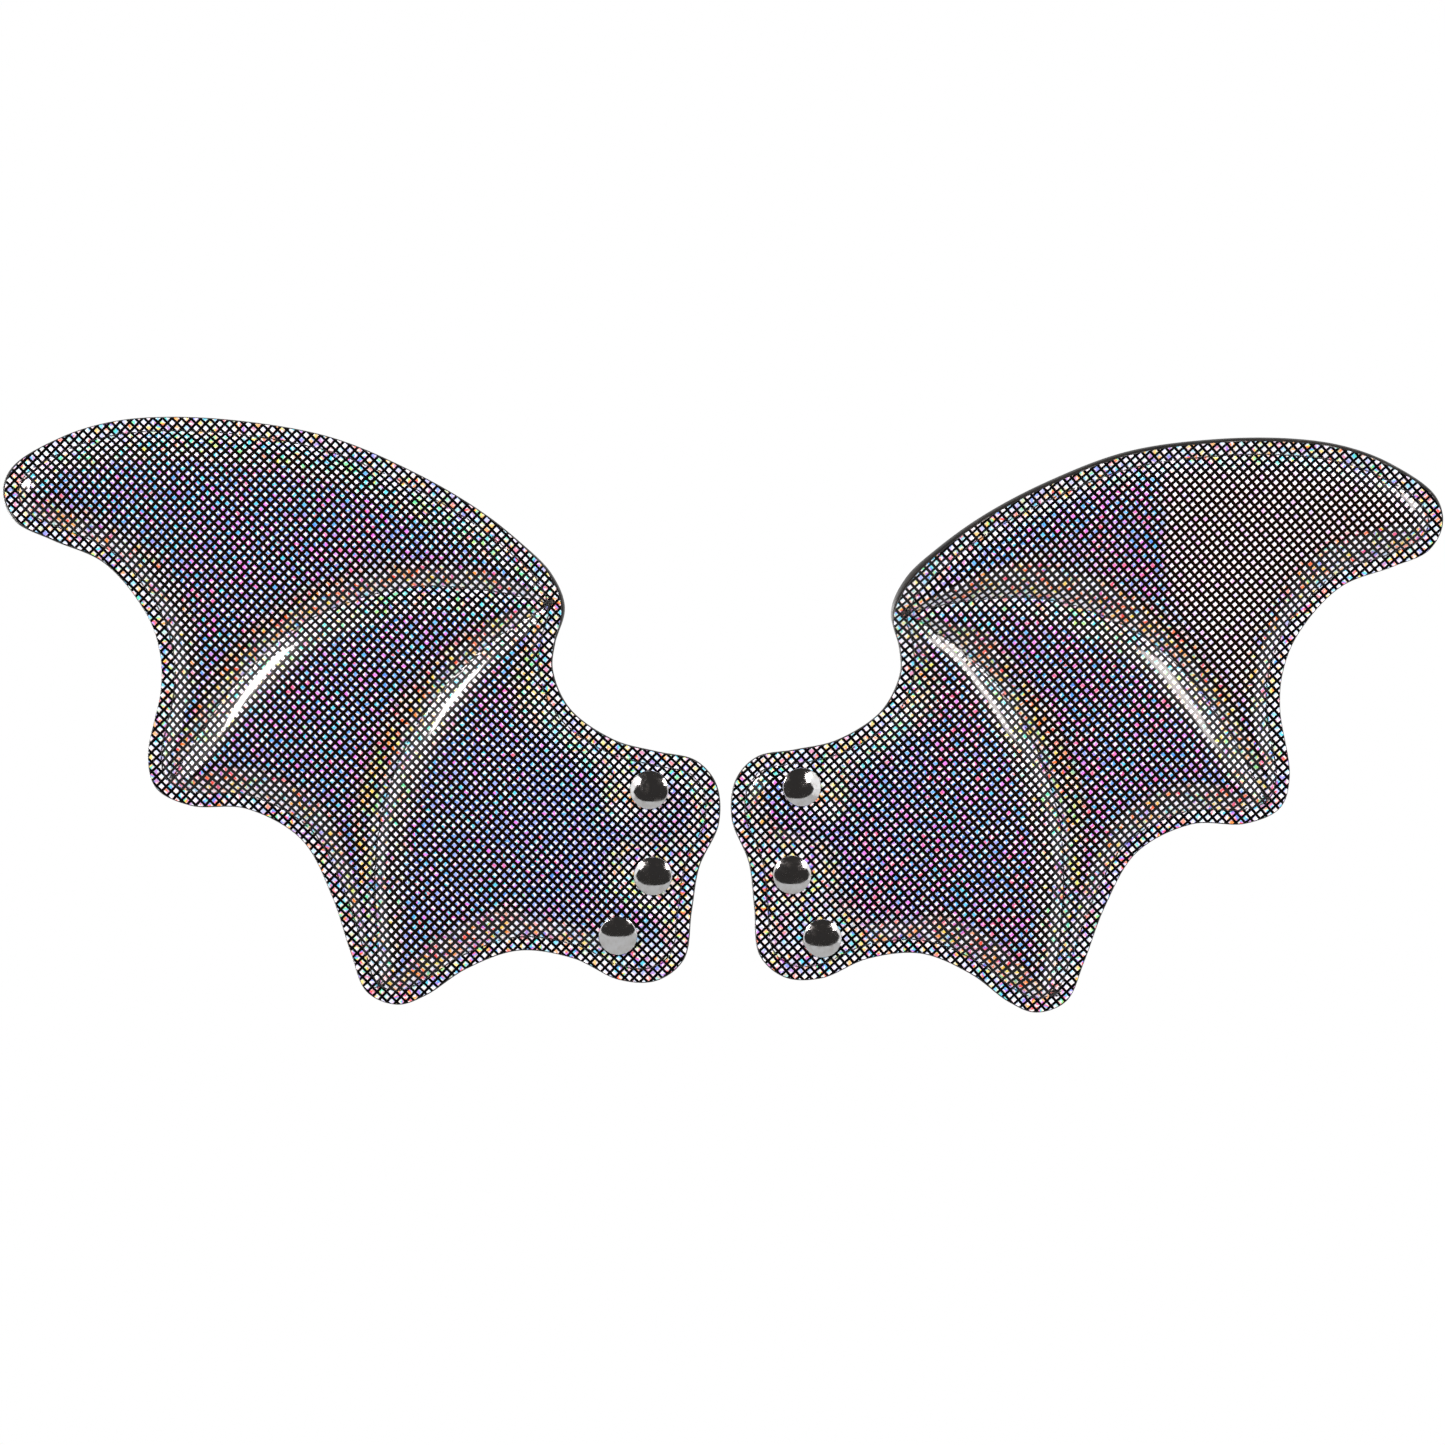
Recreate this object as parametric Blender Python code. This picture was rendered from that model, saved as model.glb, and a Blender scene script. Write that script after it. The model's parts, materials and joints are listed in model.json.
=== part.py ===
"""A pair of costume wings on press snaps: padded bat-wing panels of printed film over foam, topstitched.

Each wing is drawn flat: u runs outboard from the wearer's centre line, v runs up, and s is the depth
forward from the back of the lining. In the world, X is across the wearer, Z is up, the decorated face looks
along -Y, and Y = 0 is the harness that the rims of the snap sockets press against. All sizes are in metres.
"""

import math

import bmesh
import bpy
import numpy as np
from mathutils import Vector
from mathutils.geometry import delaunay_2d_cdt

MM = 0.001

# The cut shape, in millimetres: from the tip along the leading edge to the wrist, in to the neck, round the
# snap tab, and back along the scalloped trailing edge.
OUTLINE_MM = (
    (233.5, 123), (230.5, 131.5), (215, 141.2), (199.5, 146.1), (181.5, 147.8), (155, 146.3),
    (127, 141), (101, 130), (81, 118.5), (66, 107), (56, 97), (51.8, 86.5),
    (55.2, 75), (56, 66), (50.5, 53.5), (36, 43.2), (22, 39.4), (9.5, 36.5),
    (3, 29), (2.2, 16.5), (8.5, 2.5), (11, -12), (13.5, -27.5), (22, -34.2),
    (34, -34), (49, -27), (67, -24.5), (84, -30.5), (97, -39), (106, -42),
    (115.7, -38), (121, -25), (127, -7), (137, 11.5), (155, 21.5), (173, 22.5),
    (184, 28), (186.6, 38), (182.4, 60), (182.8, 72), (187.2, 84.5), (201, 101),
    (218, 108.5), (229.5, 114.3),
)
UPPER_RIB_MM = ((55.9, 87.8), (78, 92), (105, 92.6), (137.5, 80.6), (160, 59.6), (178.9, 31.1))
LOWER_RIB_MM = ((55.9, 87.8), (79, 72.5), (98.6, 49.9), (109.9, 24), (113.2, 1.3), (111.6, -35.9))
OUTLINE_STEPS = 2       # straight pieces between two outline points
RIB_STEPS = 3

# The neck bends along this line, beside the snap tab.
FLEX_TOP = np.array((0.0374, 0.0887))
FLEX_BOTTOM = np.array((0.0568, -0.0278))
FLEX_SLOT = 0.004       # bare width left between the two halves of each layer, so that they can fold
STIFF_CLEAR = 0.013     # the board and the patch stay this far from the flex line

# Depths forward from the back of the lining.
LINING_FRONT = 0.0008
BOARD_BACK = 0.0011
BOARD_FRONT = 0.0018
FOAM_BACK = 0.0024
FOAM_FLANGE = 0.0034
FACE_BACK = 0.0037
FACE_FRONT = 0.0046
CROWN = 0.0045          # how far the padding swells between its seams
CROWN_FLANK = 0.012     # distance from a seam over which it swells
CROWN_ROUND = 1.92      # how steeply it rises beside the seam
STITCH_INSET = 0.0042
BOARD_INSET = 0.0065

THREAD_RADIUS = 0.0003
THREAD_CLEAR = 0.0003   # bare gap under a thread
THREAD_FLEX_GAP = 0.0005
RIB_END_GAP = 0.0015    # a rib's seam ends this far from the edge seam

# Line 20 press snaps. Depths along a snap run forward from the harness.
SOCKET_DEPTH = 0.0035   # back of the lining to the harness
CAP_RADIUS = 0.00625
CAP_RIM = 0.0009        # height of the cap's rim
CAP_DOME = 0.0016       # and of the dome on it
CAP_EDGE = 0.00025      # the rim rounds off over this width
CAP_CLEAR = 0.0003
POST_RADIUS = 0.0019
POST_BORE = 0.0011
POST_FLOOR = 0.002      # metal left between the bore and the cap
FLARE_RADIUS = 0.0028
FLARE_BACK = 0.0019
FLARE_FRONT = 0.0022
SOCKET_RADIUS = 0.0055
SOCKET_METAL = 0.0006
SOCKET_CLEAR = 0.0003   # bare gap between the socket's base and the lining
SOCKET_ROUND = 0.0004
MOUTH_RADIUS = 0.0025
HOLE_RADIUS = 0.0022
DIMPLE_RADIUS = 0.0065  # the caps hold the padding flat this far out
DIMPLE_FLANK = 0.012
SPRING_DEPTH = 0.0011
SPRING_WIRE = 0.0003
SPRING_LEG = 0.0018     # half the distance between the two legs
SPRING_REACH = 0.0033

ROUND_STEPS = 16
HOLE_STEPS = 10
DOME_STEPS = 4
BEND_STEPS = 8
PADDED_GRID = 0.012     # size of the triangles in the padded layers
PLAIN_GRID = 0.015      # and in the lining and the boards
GRID_CLEAR = 0.42       # grid points keep this share of their spacing away from a cut or a seam
CUT_LONGEST = 0.010     # longest straight piece of an edge along the flex line

# The right wing's leading edge leans forward of a circle, most at the top of its arc.
ARC_CENTRE = (0.175, 0.010)
ARC_START = 0.085
ARC_REACH = 0.055
ARC_LIFT = 0.0095
ARC_FOOT = 0.060        # height at which the lean begins
ARC_FADE = 0.045
# The left wing lies flatter: only its tip and its wrist lift.
TIP_START = 0.190
TIP_REACH = 0.043
TIP_LIFT = 0.0058
WRIST_START = 0.075
WRIST_REACH = 0.023
WRIST_LIFT = 0.0029
WRIST_FADE = 0.030

# The right wing is the mirror image, cut a little smaller and hung a little lower at its tip.
RIGHT_WIDTH = 0.973
RIGHT_HEIGHT = 0.995
RIGHT_TURN = math.radians(2.55)
RIGHT_SHIFT = (-0.0003, 0.0, 0.0018)
LEFT_SNAPS = ((0.0244, 0.0273), (0.0232, -0.0006), (0.0345, -0.0199))
RIGHT_SNAPS = ((0.0241, 0.0275), (0.0222, -0.0010), (0.0329, -0.0211))

COLOURS = {
    "film": ((0.30, 0.27, 0.52), 0.28, 0.8),
    "foam": ((0.018, 0.017, 0.017), 0.9, 0.0),
    "lining": ((0.012, 0.011, 0.012), 0.45, 0.0),
    "board": ((0.05, 0.05, 0.055), 0.5, 0.0),
    "thread": ((0.01, 0.01, 0.01), 0.6, 0.0),
    "chrome": ((0.78, 0.78, 0.80), 0.08, 1.0),
    "spring": ((0.45, 0.44, 0.42), 0.3, 1.0),
}


def smooth(t):
    t = np.clip(t, 0.0, 1.0)
    return t * t * (3 - 2 * t)


def curve_through(points, steps, closed):
    """A centripetal Catmull-Rom curve through 2D points, sampled in equal steps of its parameter."""
    points = np.asarray(points, float)
    if closed:
        padded = np.vstack([points[-1], points, points[:2]])
    else:
        padded = np.vstack([2 * points[0] - points[1], points, 2 * points[-1] - points[-2]])
    samples = []
    for first in range(len(padded) - 3):
        p = padded[first:first + 4]
        knots = np.concatenate([[0.0], np.cumsum(np.linalg.norm(np.diff(p, axis=0), axis=1) ** 0.5)])
        for t in np.linspace(knots[1], knots[2], steps, endpoint=False):
            level = list(p)
            for width in (1, 2):
                level = [
                    ((knots[i + width] - t) * level[i] + (t - knots[i]) * level[i + 1])
                    / (knots[i + width] - knots[i])
                    for i in range(len(level) - 1)
                ]
            samples.append(((knots[2] - t) * level[0] + (t - knots[1]) * level[1]) / (knots[2] - knots[1]))
    if not closed:
        samples.append(points[-1])
    return np.array(samples)


def inset(loop, distance):
    """A closed loop moved inwards. The outline runs anticlockwise in (u, v), so inwards is to its left."""
    along = np.roll(loop, -1, axis=0) - np.roll(loop, 1, axis=0)
    along /= np.linalg.norm(along, axis=1)[:, None]
    return loop + distance * np.column_stack([-along[:, 1], along[:, 0]])


def distance_to(points, line, closed=False):
    """How far each point is from a chain of straight pieces."""
    starts = line if closed else line[:-1]
    ends = np.roll(line, -1, axis=0) if closed else line[1:]
    nearest = np.full(len(points), np.inf)
    for start, end in zip(starts, ends):
        run = end - start
        share = np.clip((points - start) @ run / (run @ run), 0, 1)
        nearest = np.minimum(nearest, np.linalg.norm(points - start - share[:, None] * run, axis=1))
    return nearest


def inside(points, loop):
    """Whether each point lies inside a closed loop."""
    found = np.zeros(len(points), bool)
    for (u0, v0), (u1, v1) in zip(loop, np.roll(loop, -1, axis=0)):
        crosses = (v0 > points[:, 1]) != (v1 > points[:, 1])
        slope = (u1 - u0) / (v1 - v0) if v1 != v0 else 0.0
        found ^= crosses & (points[:, 0] < u0 + (points[:, 1] - v0) * slope)
    return found


def cut_at(points, height, closed):
    """The part of a loop or chain where height is positive, as a list of chains."""
    chains = []
    chain = []
    count = len(points)
    for i in range(count if closed else count - 1):
        here, there = points[i], points[(i + 1) % count]
        if height[i] > 0:
            chain.append(here)
        if (height[i] > 0) != (height[(i + 1) % count] > 0):
            share = height[i] / (height[i] - height[(i + 1) % count])
            chain.append(here + share * (there - here))
            if height[i] > 0:
                chains.append(chain)
                chain = []
    if not closed and height[-1] > 0:
        chain.append(points[-1])
    if chain and closed and chains:
        chains[0] = chain + chains[0]
    elif chain:
        chains.append(chain)
    return [np.array(chain) for chain in chains if len(chain) > 1]


def flat_mesh(loop, lines, spacing, holes=()):
    """Triangles that fill a closed loop, with edges along the given lines and round the holes.

    Holes come in pairs: the hole itself, and a ring round it that keeps its own edges.
    """
    clear = GRID_CLEAR * spacing
    low, high = loop.min(axis=0), loop.max(axis=0)
    grid = []
    for row, v in enumerate(np.arange(low[1], high[1], spacing * math.sqrt(0.75))):
        shift = 0.5 * spacing * (row % 2)
        grid.extend((u, v) for u in np.arange(low[0] + shift, high[0], spacing))
    grid = np.array(grid)
    keep = inside(grid, loop) & (distance_to(grid, loop, closed=True) > clear)
    for line in lines:
        keep &= distance_to(grid, line) > clear
    for hole in holes:
        keep &= (distance_to(grid, hole, closed=True) > clear) & ~inside(grid, hole)
    points, edges = [], []
    chains = [(loop, True)] + [(line, False) for line in lines] + [(hole, True) for hole in holes]
    for chain, closed in chains:
        first = len(points)
        points.extend(chain)
        edges.extend((first + i, first + i + 1) for i in range(len(chain) - 1))
        if closed:
            edges.append((first + len(chain) - 1, first))
    points.extend(grid[keep])
    found = delaunay_2d_cdt([Vector(p) for p in points], edges, [], 0, 1e-6)
    corners = np.array([tuple(p) for p in found[0]])
    triangles = np.array([tuple(t) for t in found[2]])
    middles = corners[triangles].mean(axis=1)
    wanted = inside(middles, loop)
    for hole in holes[::2]:
        wanted &= ~inside(middles, hole)
    triangles = triangles[wanted]
    used = np.unique(triangles)
    return corners[used], np.searchsorted(used, triangles)


def circle(centre, radius, steps):
    turns = np.arange(steps) * 2 * math.pi / steps
    return np.array(centre) + radius * np.column_stack([np.cos(turns), np.sin(turns)])


def leading_edge_curl(u, v):
    """How far forward the right wing's sheet leans."""
    reach = np.clip((np.hypot(u - ARC_CENTRE[0], v - ARC_CENTRE[1]) - ARC_START) / ARC_REACH, 0, None)
    return ARC_LIFT * reach**2 * smooth((v - ARC_FOOT) / ARC_FADE)


def tip_and_wrist_curl(u, v):
    """How far forward the left wing's sheet lifts."""
    tip = np.clip((u - TIP_START) / TIP_REACH, 0, None)
    wrist = np.clip((WRIST_START - u) / WRIST_REACH, 0, None) * smooth((v - ARC_FOOT) / WRIST_FADE)
    return TIP_LIFT * tip**2 + WRIST_LIFT * wrist**2


class Wing:
    """One wing's cut pieces in (u, v), and where they lie in space."""

    def __init__(self, side, sign, scale, snaps, curl):
        self.side = side
        self.sign = sign
        self.snaps = snaps
        self.curl = curl
        self.outline = curve_through(np.array(OUTLINE_MM) * MM * scale, OUTLINE_STEPS, True)
        self.stitch = inset(self.outline, STITCH_INSET)
        self.board = inset(self.outline, BOARD_INSET)
        self.ribs = {
            "upper": curve_through(np.array(UPPER_RIB_MM) * MM * scale, RIB_STEPS, False),
            "lower": curve_through(np.array(LOWER_RIB_MM) * MM * scale, RIB_STEPS, False),
        }
        self.flex_foot = FLEX_BOTTOM * scale
        run = FLEX_TOP * scale - self.flex_foot
        self.flex_along = run / np.linalg.norm(run)
        self.flex_out = np.array((self.flex_along[1], -self.flex_along[0]))
        self.frame = bpy.data.objects.new(side + "_wing_frame", None)
        self.hinge = bpy.data.objects.new(side + "_flex_frame", None)
        for empty in (self.frame, self.hinge):
            bpy.context.scene.collection.objects.link(empty)
        self.hinge.parent = self.frame
        self.hinge.location = self.place(self.flex_foot[None], FACE_FRONT / 2 + CROWN / 2)[0]

    def place(self, flat, depth):
        """Points in the wing's frame for flat (u, v) points at a depth, with the sheet's curl."""
        u, v = flat[:, 0], flat[:, 1]
        step = 1e-5
        lean_x = self.sign * (self.curl(u + step, v) - self.curl(u - step, v)) / (2 * step)
        lean_z = (self.curl(u, v + step) - self.curl(u, v - step)) / (2 * step)
        forward = -np.column_stack([lean_x, np.ones(len(u)), lean_z])
        forward /= np.linalg.norm(forward, axis=1)[:, None]
        sheet = np.column_stack([self.sign * u, -SOCKET_DEPTH - self.curl(u, v), v])
        return sheet + forward * np.broadcast_to(depth, len(u))[:, None]

    def beyond_flex(self, flat, part, clear):
        """How far points lie on the wanted side of the flex line, past a clear strip."""
        outboard = (flat - self.flex_foot) @ self.flex_out
        return (outboard if part == "blade" else -outboard) - clear

    def piece_loop(self, loop, part, clear):
        """One side of a loop cut at the flex line, its cut edge divided into short pieces."""
        chain = cut_at(loop, self.beyond_flex(loop, part, clear), True)[0]
        count = math.ceil(np.linalg.norm(chain[0] - chain[-1]) / CUT_LONGEST)
        steps = np.arange(1, count)[:, None] / count
        return np.vstack([chain, chain[-1] + steps * (chain[0] - chain[-1])])

    def chains(self, line, part, clear, closed):
        return cut_at(line, self.beyond_flex(line, part, clear), closed)

    def swell(self, flat):
        """How far the padding swells forward of the flange: nothing along seams and under the caps."""
        away = distance_to(flat, self.stitch, closed=True) * inside(flat, self.stitch)
        for rib in self.ribs.values():
            away = np.minimum(away, distance_to(flat, rib))
        rise = CROWN * (1 - np.clip(1 - away / CROWN_FLANK, 0, 1) ** CROWN_ROUND)
        for snap in self.snaps:
            radius = np.linalg.norm(flat - snap, axis=1)
            rise *= smooth((radius - DIMPLE_RADIUS) / DIMPLE_FLANK)
        return rise

    def parent_of(self, part):
        return self.hinge if part == "blade" else self.frame

    def origin_of(self, part):
        return np.array(self.hinge.location) if part == "blade" else np.zeros(3)


def material(kind):
    if kind in bpy.data.materials:
        return bpy.data.materials[kind]
    colour, roughness, metallic = COLOURS[kind]
    made = bpy.data.materials.new(kind)
    made.use_nodes = True
    shader = made.node_tree.nodes["Principled BSDF"]
    shader.inputs["Base Color"].default_value = (*colour, 1.0)
    shader.inputs["Roughness"].default_value = roughness
    shader.inputs["Metallic"].default_value = metallic
    return made


def add_object(name, mesh, kind, parent, round_piece=False):
    mesh.materials.append(material(kind))
    if round_piece:
        mesh.shade_smooth()
        mesh.set_sharp_from_angle(angle=math.radians(35))
    made = bpy.data.objects.new(name, mesh)
    bpy.context.scene.collection.objects.link(made)
    made.parent = parent
    return made


def closed_mesh(name, points, faces):
    """A mesh of one closed body, with its faces turned to point outwards."""
    shape = bmesh.new()
    corners = [shape.verts.new(p) for p in points]
    for face in faces:
        shape.faces.new([corners[i] for i in face])
    bmesh.ops.recalc_face_normals(shape, faces=shape.faces)
    mesh = bpy.data.meshes.new(name)
    shape.to_mesh(mesh)
    shape.free()
    return mesh


def layer(wing, name, part, flat, triangles, back, front, kind):
    """A sheet with a flat plan: its back and front faces, and walls round every edge of the plan."""
    count = len(flat)
    points = np.vstack([wing.place(flat, front), wing.place(flat, back)]) - wing.origin_of(part)
    edges = {}      # in the order found, so that every build is the same
    for a, b, c in triangles:
        for start, end in ((a, b), (b, c), (c, a)):
            edges[(start, end)] = True
    faces = [tuple(t) for t in triangles]
    faces += [(a + count, c + count, b + count) for a, b, c in triangles]
    faces += [
        (end, start, start + count, end + count)
        for start, end in edges
        if (end, start) not in edges
    ]
    mesh = closed_mesh(name, points, faces)
    return add_object(f"{wing.side}_{name}", mesh, kind, wing.parent_of(part))


def sheets(wing, part):
    """Film, foam and lining are cut together and stay one above the other, with a board or patch inside."""
    half_slot = FLEX_SLOT / 2
    loop = wing.piece_loop(wing.outline, part, half_slot)
    lines = wing.chains(wing.stitch, part, half_slot, True)
    holes = []
    if part == "blade":
        lines += list(wing.ribs.values())
    else:
        for snap in wing.snaps:
            holes.append(circle(snap, HOLE_RADIUS, HOLE_STEPS))
            holes.append(circle(snap, DIMPLE_RADIUS, HOLE_STEPS))
    flat, triangles = flat_mesh(loop, lines, PADDED_GRID, holes)
    rise = wing.swell(flat)
    layer(wing, f"face_{part}", part, flat, triangles, FACE_BACK + rise, FACE_FRONT + rise, "film")
    layer(wing, f"foam_{part}", part, flat, triangles, FOAM_BACK, FOAM_FLANGE + rise, "foam")
    # The board of the blade, or the patch behind the snaps, lies between the lining and the foam. It shares
    # the lining's triangles, so that the two bend alike.
    board_loop = wing.piece_loop(wing.board, part, STIFF_CLEAR)
    board_line = np.vstack([board_loop, board_loop[:1]])
    flat, triangles = flat_mesh(loop, [board_line], PLAIN_GRID, holes)
    layer(wing, f"lining_{part}", part, flat, triangles, 0.0, LINING_FRONT, "lining")
    triangles = triangles[inside(flat[triangles].mean(axis=1), board_loop)]
    used = np.unique(triangles)
    name = "stiffener" if part == "blade" else "snap_patch"
    layer(wing, name, part, flat[used], np.searchsorted(used, triangles), BOARD_BACK, BOARD_FRONT, "board")


def sweep(points, normals, radius, sides):
    """A tube along a chain of points, with closed ends."""
    points = np.asarray(points)
    along = np.gradient(points, axis=0)
    along /= np.linalg.norm(along, axis=1)[:, None]
    across = np.cross(along, normals)
    across /= np.linalg.norm(across, axis=1)[:, None]
    outward = np.cross(across, along)
    rings = []
    for side in range(sides):
        turn = 2 * math.pi * side / sides
        rings.append(points + radius * (math.cos(turn) * outward + math.sin(turn) * across))
    corners = np.stack(rings, axis=1).reshape(-1, 3)
    faces = []
    for ring in range(len(points) - 1):
        for side in range(sides):
            after = (side + 1) % sides
            here, there = ring * sides, (ring + 1) * sides
            faces.append((here + side, here + after, there + after, there + side))
    faces.append(tuple(range(sides)))
    faces.append(tuple(range(len(corners) - sides, len(corners))))
    return corners, faces


def thread(wing, name, part, line, on_face):
    """One thread of a seam: the needle thread lies on the film, the bobbin thread on the lining."""
    height = THREAD_CLEAR + THREAD_RADIUS
    depth = FACE_FRONT + height if on_face else -height
    above = depth + height if on_face else depth - height
    points = wing.place(line, depth)
    normals = wing.place(line, above) - points
    corners, faces = sweep(points - wing.origin_of(part), normals, THREAD_RADIUS, 3)
    add_object(f"{wing.side}_{name}", closed_mesh(name, corners, faces), "thread", wing.parent_of(part))


def seams(wing):
    for on_face, kind in ((True, "thread"), (False, "bobbin")):
        for part in ("root", "blade"):
            line = wing.chains(wing.stitch, part, FLEX_SLOT / 2 + THREAD_FLEX_GAP, True)[0]
            thread(wing, f"edge_{kind}_{part}", part, line, on_face)
        for rib, line in wing.ribs.items():
            clear = distance_to(line, wing.stitch, closed=True) - RIB_END_GAP
            thread(wing, f"{rib}_rib_{kind}", "blade", cut_at(line, clear, False)[0], on_face)


def turned(name, profile, kind, parent, location):
    """A round piece spun about the snap's axis, from a profile of (radius, depth forward) points."""
    shape = bmesh.new()
    corners = [shape.verts.new((r, 0, z)) for r, z in profile]
    count = len(corners)
    last = count if profile[0][0] > 0 else count - 1
    edges = [shape.edges.new((corners[i], corners[(i + 1) % count])) for i in range(last)]
    bmesh.ops.spin(
        shape, geom=corners + edges, cent=(0, 0, 0), axis=(0, 0, 1),
        angle=2 * math.pi, steps=ROUND_STEPS, use_merge=True,
    )
    bmesh.ops.remove_doubles(shape, verts=shape.verts, dist=1e-6)
    bmesh.ops.recalc_face_normals(shape, faces=shape.faces)
    mesh = bpy.data.meshes.new(name)
    shape.to_mesh(mesh)
    shape.free()
    made = add_object(name, mesh, kind, parent, round_piece=True)
    made.location = location
    made.rotation_euler = (math.pi / 2, 0, 0)
    return made


def cap_profile():
    """A domed cap with a rolled rim on a hollow post, whose end is flared inside the socket."""
    seat = SOCKET_DEPTH + FACE_FRONT + CAP_CLEAR
    rim = seat + CAP_RIM
    reach = CAP_RADIUS - CAP_EDGE
    ball = (reach**2 + CAP_DOME**2) / (2 * CAP_DOME)
    dome = []
    for step in range(DOME_STEPS + 1):
        turn = math.asin(reach / ball) * step / DOME_STEPS
        dome.append((ball * math.sin(turn), rim + CAP_DOME - ball + ball * math.cos(turn)))
    return dome + [
        (CAP_RADIUS, seat + CAP_RIM / 2), (CAP_RADIUS - CAP_EDGE, seat + CAP_EDGE / 2),
        (CAP_RADIUS - 3 * CAP_EDGE, seat),
        (POST_RADIUS, seat), (POST_RADIUS, FLARE_FRONT + CAP_EDGE / 2),
        (FLARE_RADIUS, FLARE_FRONT), (FLARE_RADIUS, FLARE_BACK),
        (POST_BORE, FLARE_BACK), (POST_BORE, seat - POST_FLOOR), (0.0, seat - POST_FLOOR),
    ]


def socket_profile():
    """A pressed ring box: a base against the lining, a wall, and a rim that leaves the mouth open."""
    top = SOCKET_DEPTH - SOCKET_CLEAR
    base = top - SOCKET_METAL
    wall = SOCKET_RADIUS - SOCKET_METAL
    hole = POST_RADIUS + SOCKET_ROUND
    return [
        (hole, top), (SOCKET_RADIUS - SOCKET_ROUND, top), (SOCKET_RADIUS, top - SOCKET_ROUND),
        (SOCKET_RADIUS, SOCKET_ROUND), (SOCKET_RADIUS - SOCKET_ROUND, 0.0),
        (MOUTH_RADIUS + SOCKET_ROUND, 0.0), (MOUTH_RADIUS, SOCKET_ROUND * 0.75),
        (MOUTH_RADIUS, SOCKET_METAL - 0.0001), (wall, SOCKET_METAL - 0.0001), (wall, base), (hole, base),
    ]


def snap_spring(wing, name, location):
    """A hairpin of wire whose two legs grip the neck of the stud."""
    bend = SPRING_LEG
    path = [(-SPRING_REACH, -SPRING_LEG), (bend, -SPRING_LEG)]
    for step in range(1, BEND_STEPS):
        turn = -math.pi / 2 + math.pi * step / BEND_STEPS
        path.append((bend + bend * math.cos(turn), bend * math.sin(turn)))
    path += [(bend, SPRING_LEG), (-SPRING_REACH, SPRING_LEG)]
    points = np.array([(x, y, SPRING_DEPTH) for x, y in path])
    corners, faces = sweep(points, np.tile((0.0, 0.0, 1.0), (len(points), 1)), SPRING_WIRE, 6)
    made = add_object(name, closed_mesh(name, corners, faces), "spring", wing.frame, round_piece=True)
    made.location = location
    made.rotation_euler = (math.pi / 2, 0, 0)


def snaps(wing):
    for number, (u, v) in enumerate(wing.snaps, start=1):
        location = (wing.sign * u, 0.0, v)
        turned(f"{wing.side}_snap_cap_{number}", cap_profile(), "chrome", wing.frame, location)
        turned(f"{wing.side}_snap_socket_{number}", socket_profile(), "chrome", wing.frame, location)
        snap_spring(wing, f"{wing.side}_snap_spring_{number}", location)


def main():
    for old in list(bpy.data.objects):
        bpy.data.objects.remove(old)
    left = Wing("left", -1, np.array((1.0, 1.0)), LEFT_SNAPS, tip_and_wrist_curl)
    right_scale = np.array((RIGHT_WIDTH, RIGHT_HEIGHT))
    right = Wing("right", 1, right_scale, RIGHT_SNAPS, leading_edge_curl)
    right.frame.location = RIGHT_SHIFT
    right.frame.rotation_euler = (0.0, RIGHT_TURN, 0.0)
    for wing in (left, right):
        for part in ("root", "blade"):
            sheets(wing, part)
        seams(wing)
        snaps(wing)


main()
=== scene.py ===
"""Looks for the pair of costume wings: printed film puffed over foam, stitches, lining and snaps.

Each wing is worked out flat, in its cut plane: u runs outboard, v runs up, and a depth runs forward from the
back of the lining. Wing.place() then puts flat points where the CAD sheets lie.
"""

import json
import math

import bpy
import numpy as np
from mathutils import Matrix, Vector
from mathutils.geometry import delaunay_2d_cdt
from mathutils.kdtree import KDTree


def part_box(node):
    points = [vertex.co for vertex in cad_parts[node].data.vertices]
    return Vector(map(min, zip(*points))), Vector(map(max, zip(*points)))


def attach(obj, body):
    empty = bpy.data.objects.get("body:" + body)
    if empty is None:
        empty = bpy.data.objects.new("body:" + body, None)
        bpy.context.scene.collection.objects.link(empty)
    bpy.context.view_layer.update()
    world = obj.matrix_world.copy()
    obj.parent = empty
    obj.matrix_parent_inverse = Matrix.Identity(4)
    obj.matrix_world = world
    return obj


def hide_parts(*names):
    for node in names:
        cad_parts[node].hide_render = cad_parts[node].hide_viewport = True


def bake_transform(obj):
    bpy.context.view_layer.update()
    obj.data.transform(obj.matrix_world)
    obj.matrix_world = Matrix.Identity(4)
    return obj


MM = 0.001

# The cut shape, in millimetres, as the CAD states it.
OUTLINE_MM = (
    (233.5, 123), (230.5, 131.5), (215, 141.2), (199.5, 146.1), (181.5, 147.8), (155, 146.3),
    (127, 141), (101, 130), (81, 118.5), (66, 107), (56, 97), (51.8, 86.5),
    (55.2, 75), (56, 66), (50.5, 53.5), (36, 43.2), (22, 39.4), (9.5, 36.5),
    (3, 29), (2.2, 16.5), (8.5, 2.5), (11, -12), (13.5, -27.5), (22, -34.2),
    (34, -34), (49, -27), (67, -24.5), (84, -30.5), (97, -39), (106, -42),
    (115.7, -38), (121, -25), (127, -7), (137, 11.5), (155, 21.5), (173, 22.5),
    (184, 28), (186.6, 38), (182.4, 60), (182.8, 72), (187.2, 84.5), (201, 101),
    (218, 108.5), (229.5, 114.3),
)
UPPER_RIB_MM = ((55.9, 87.8), (78, 92), (105, 92.6), (137.5, 80.6), (160, 59.6), (178.9, 31.1))
LOWER_RIB_MM = ((55.9, 87.8), (79, 72.5), (98.6, 49.9), (109.9, 24), (113.2, 1.3), (111.6, -35.9))
OUTLINE_STEPS = 12
RIB_STEPS = 26

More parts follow.
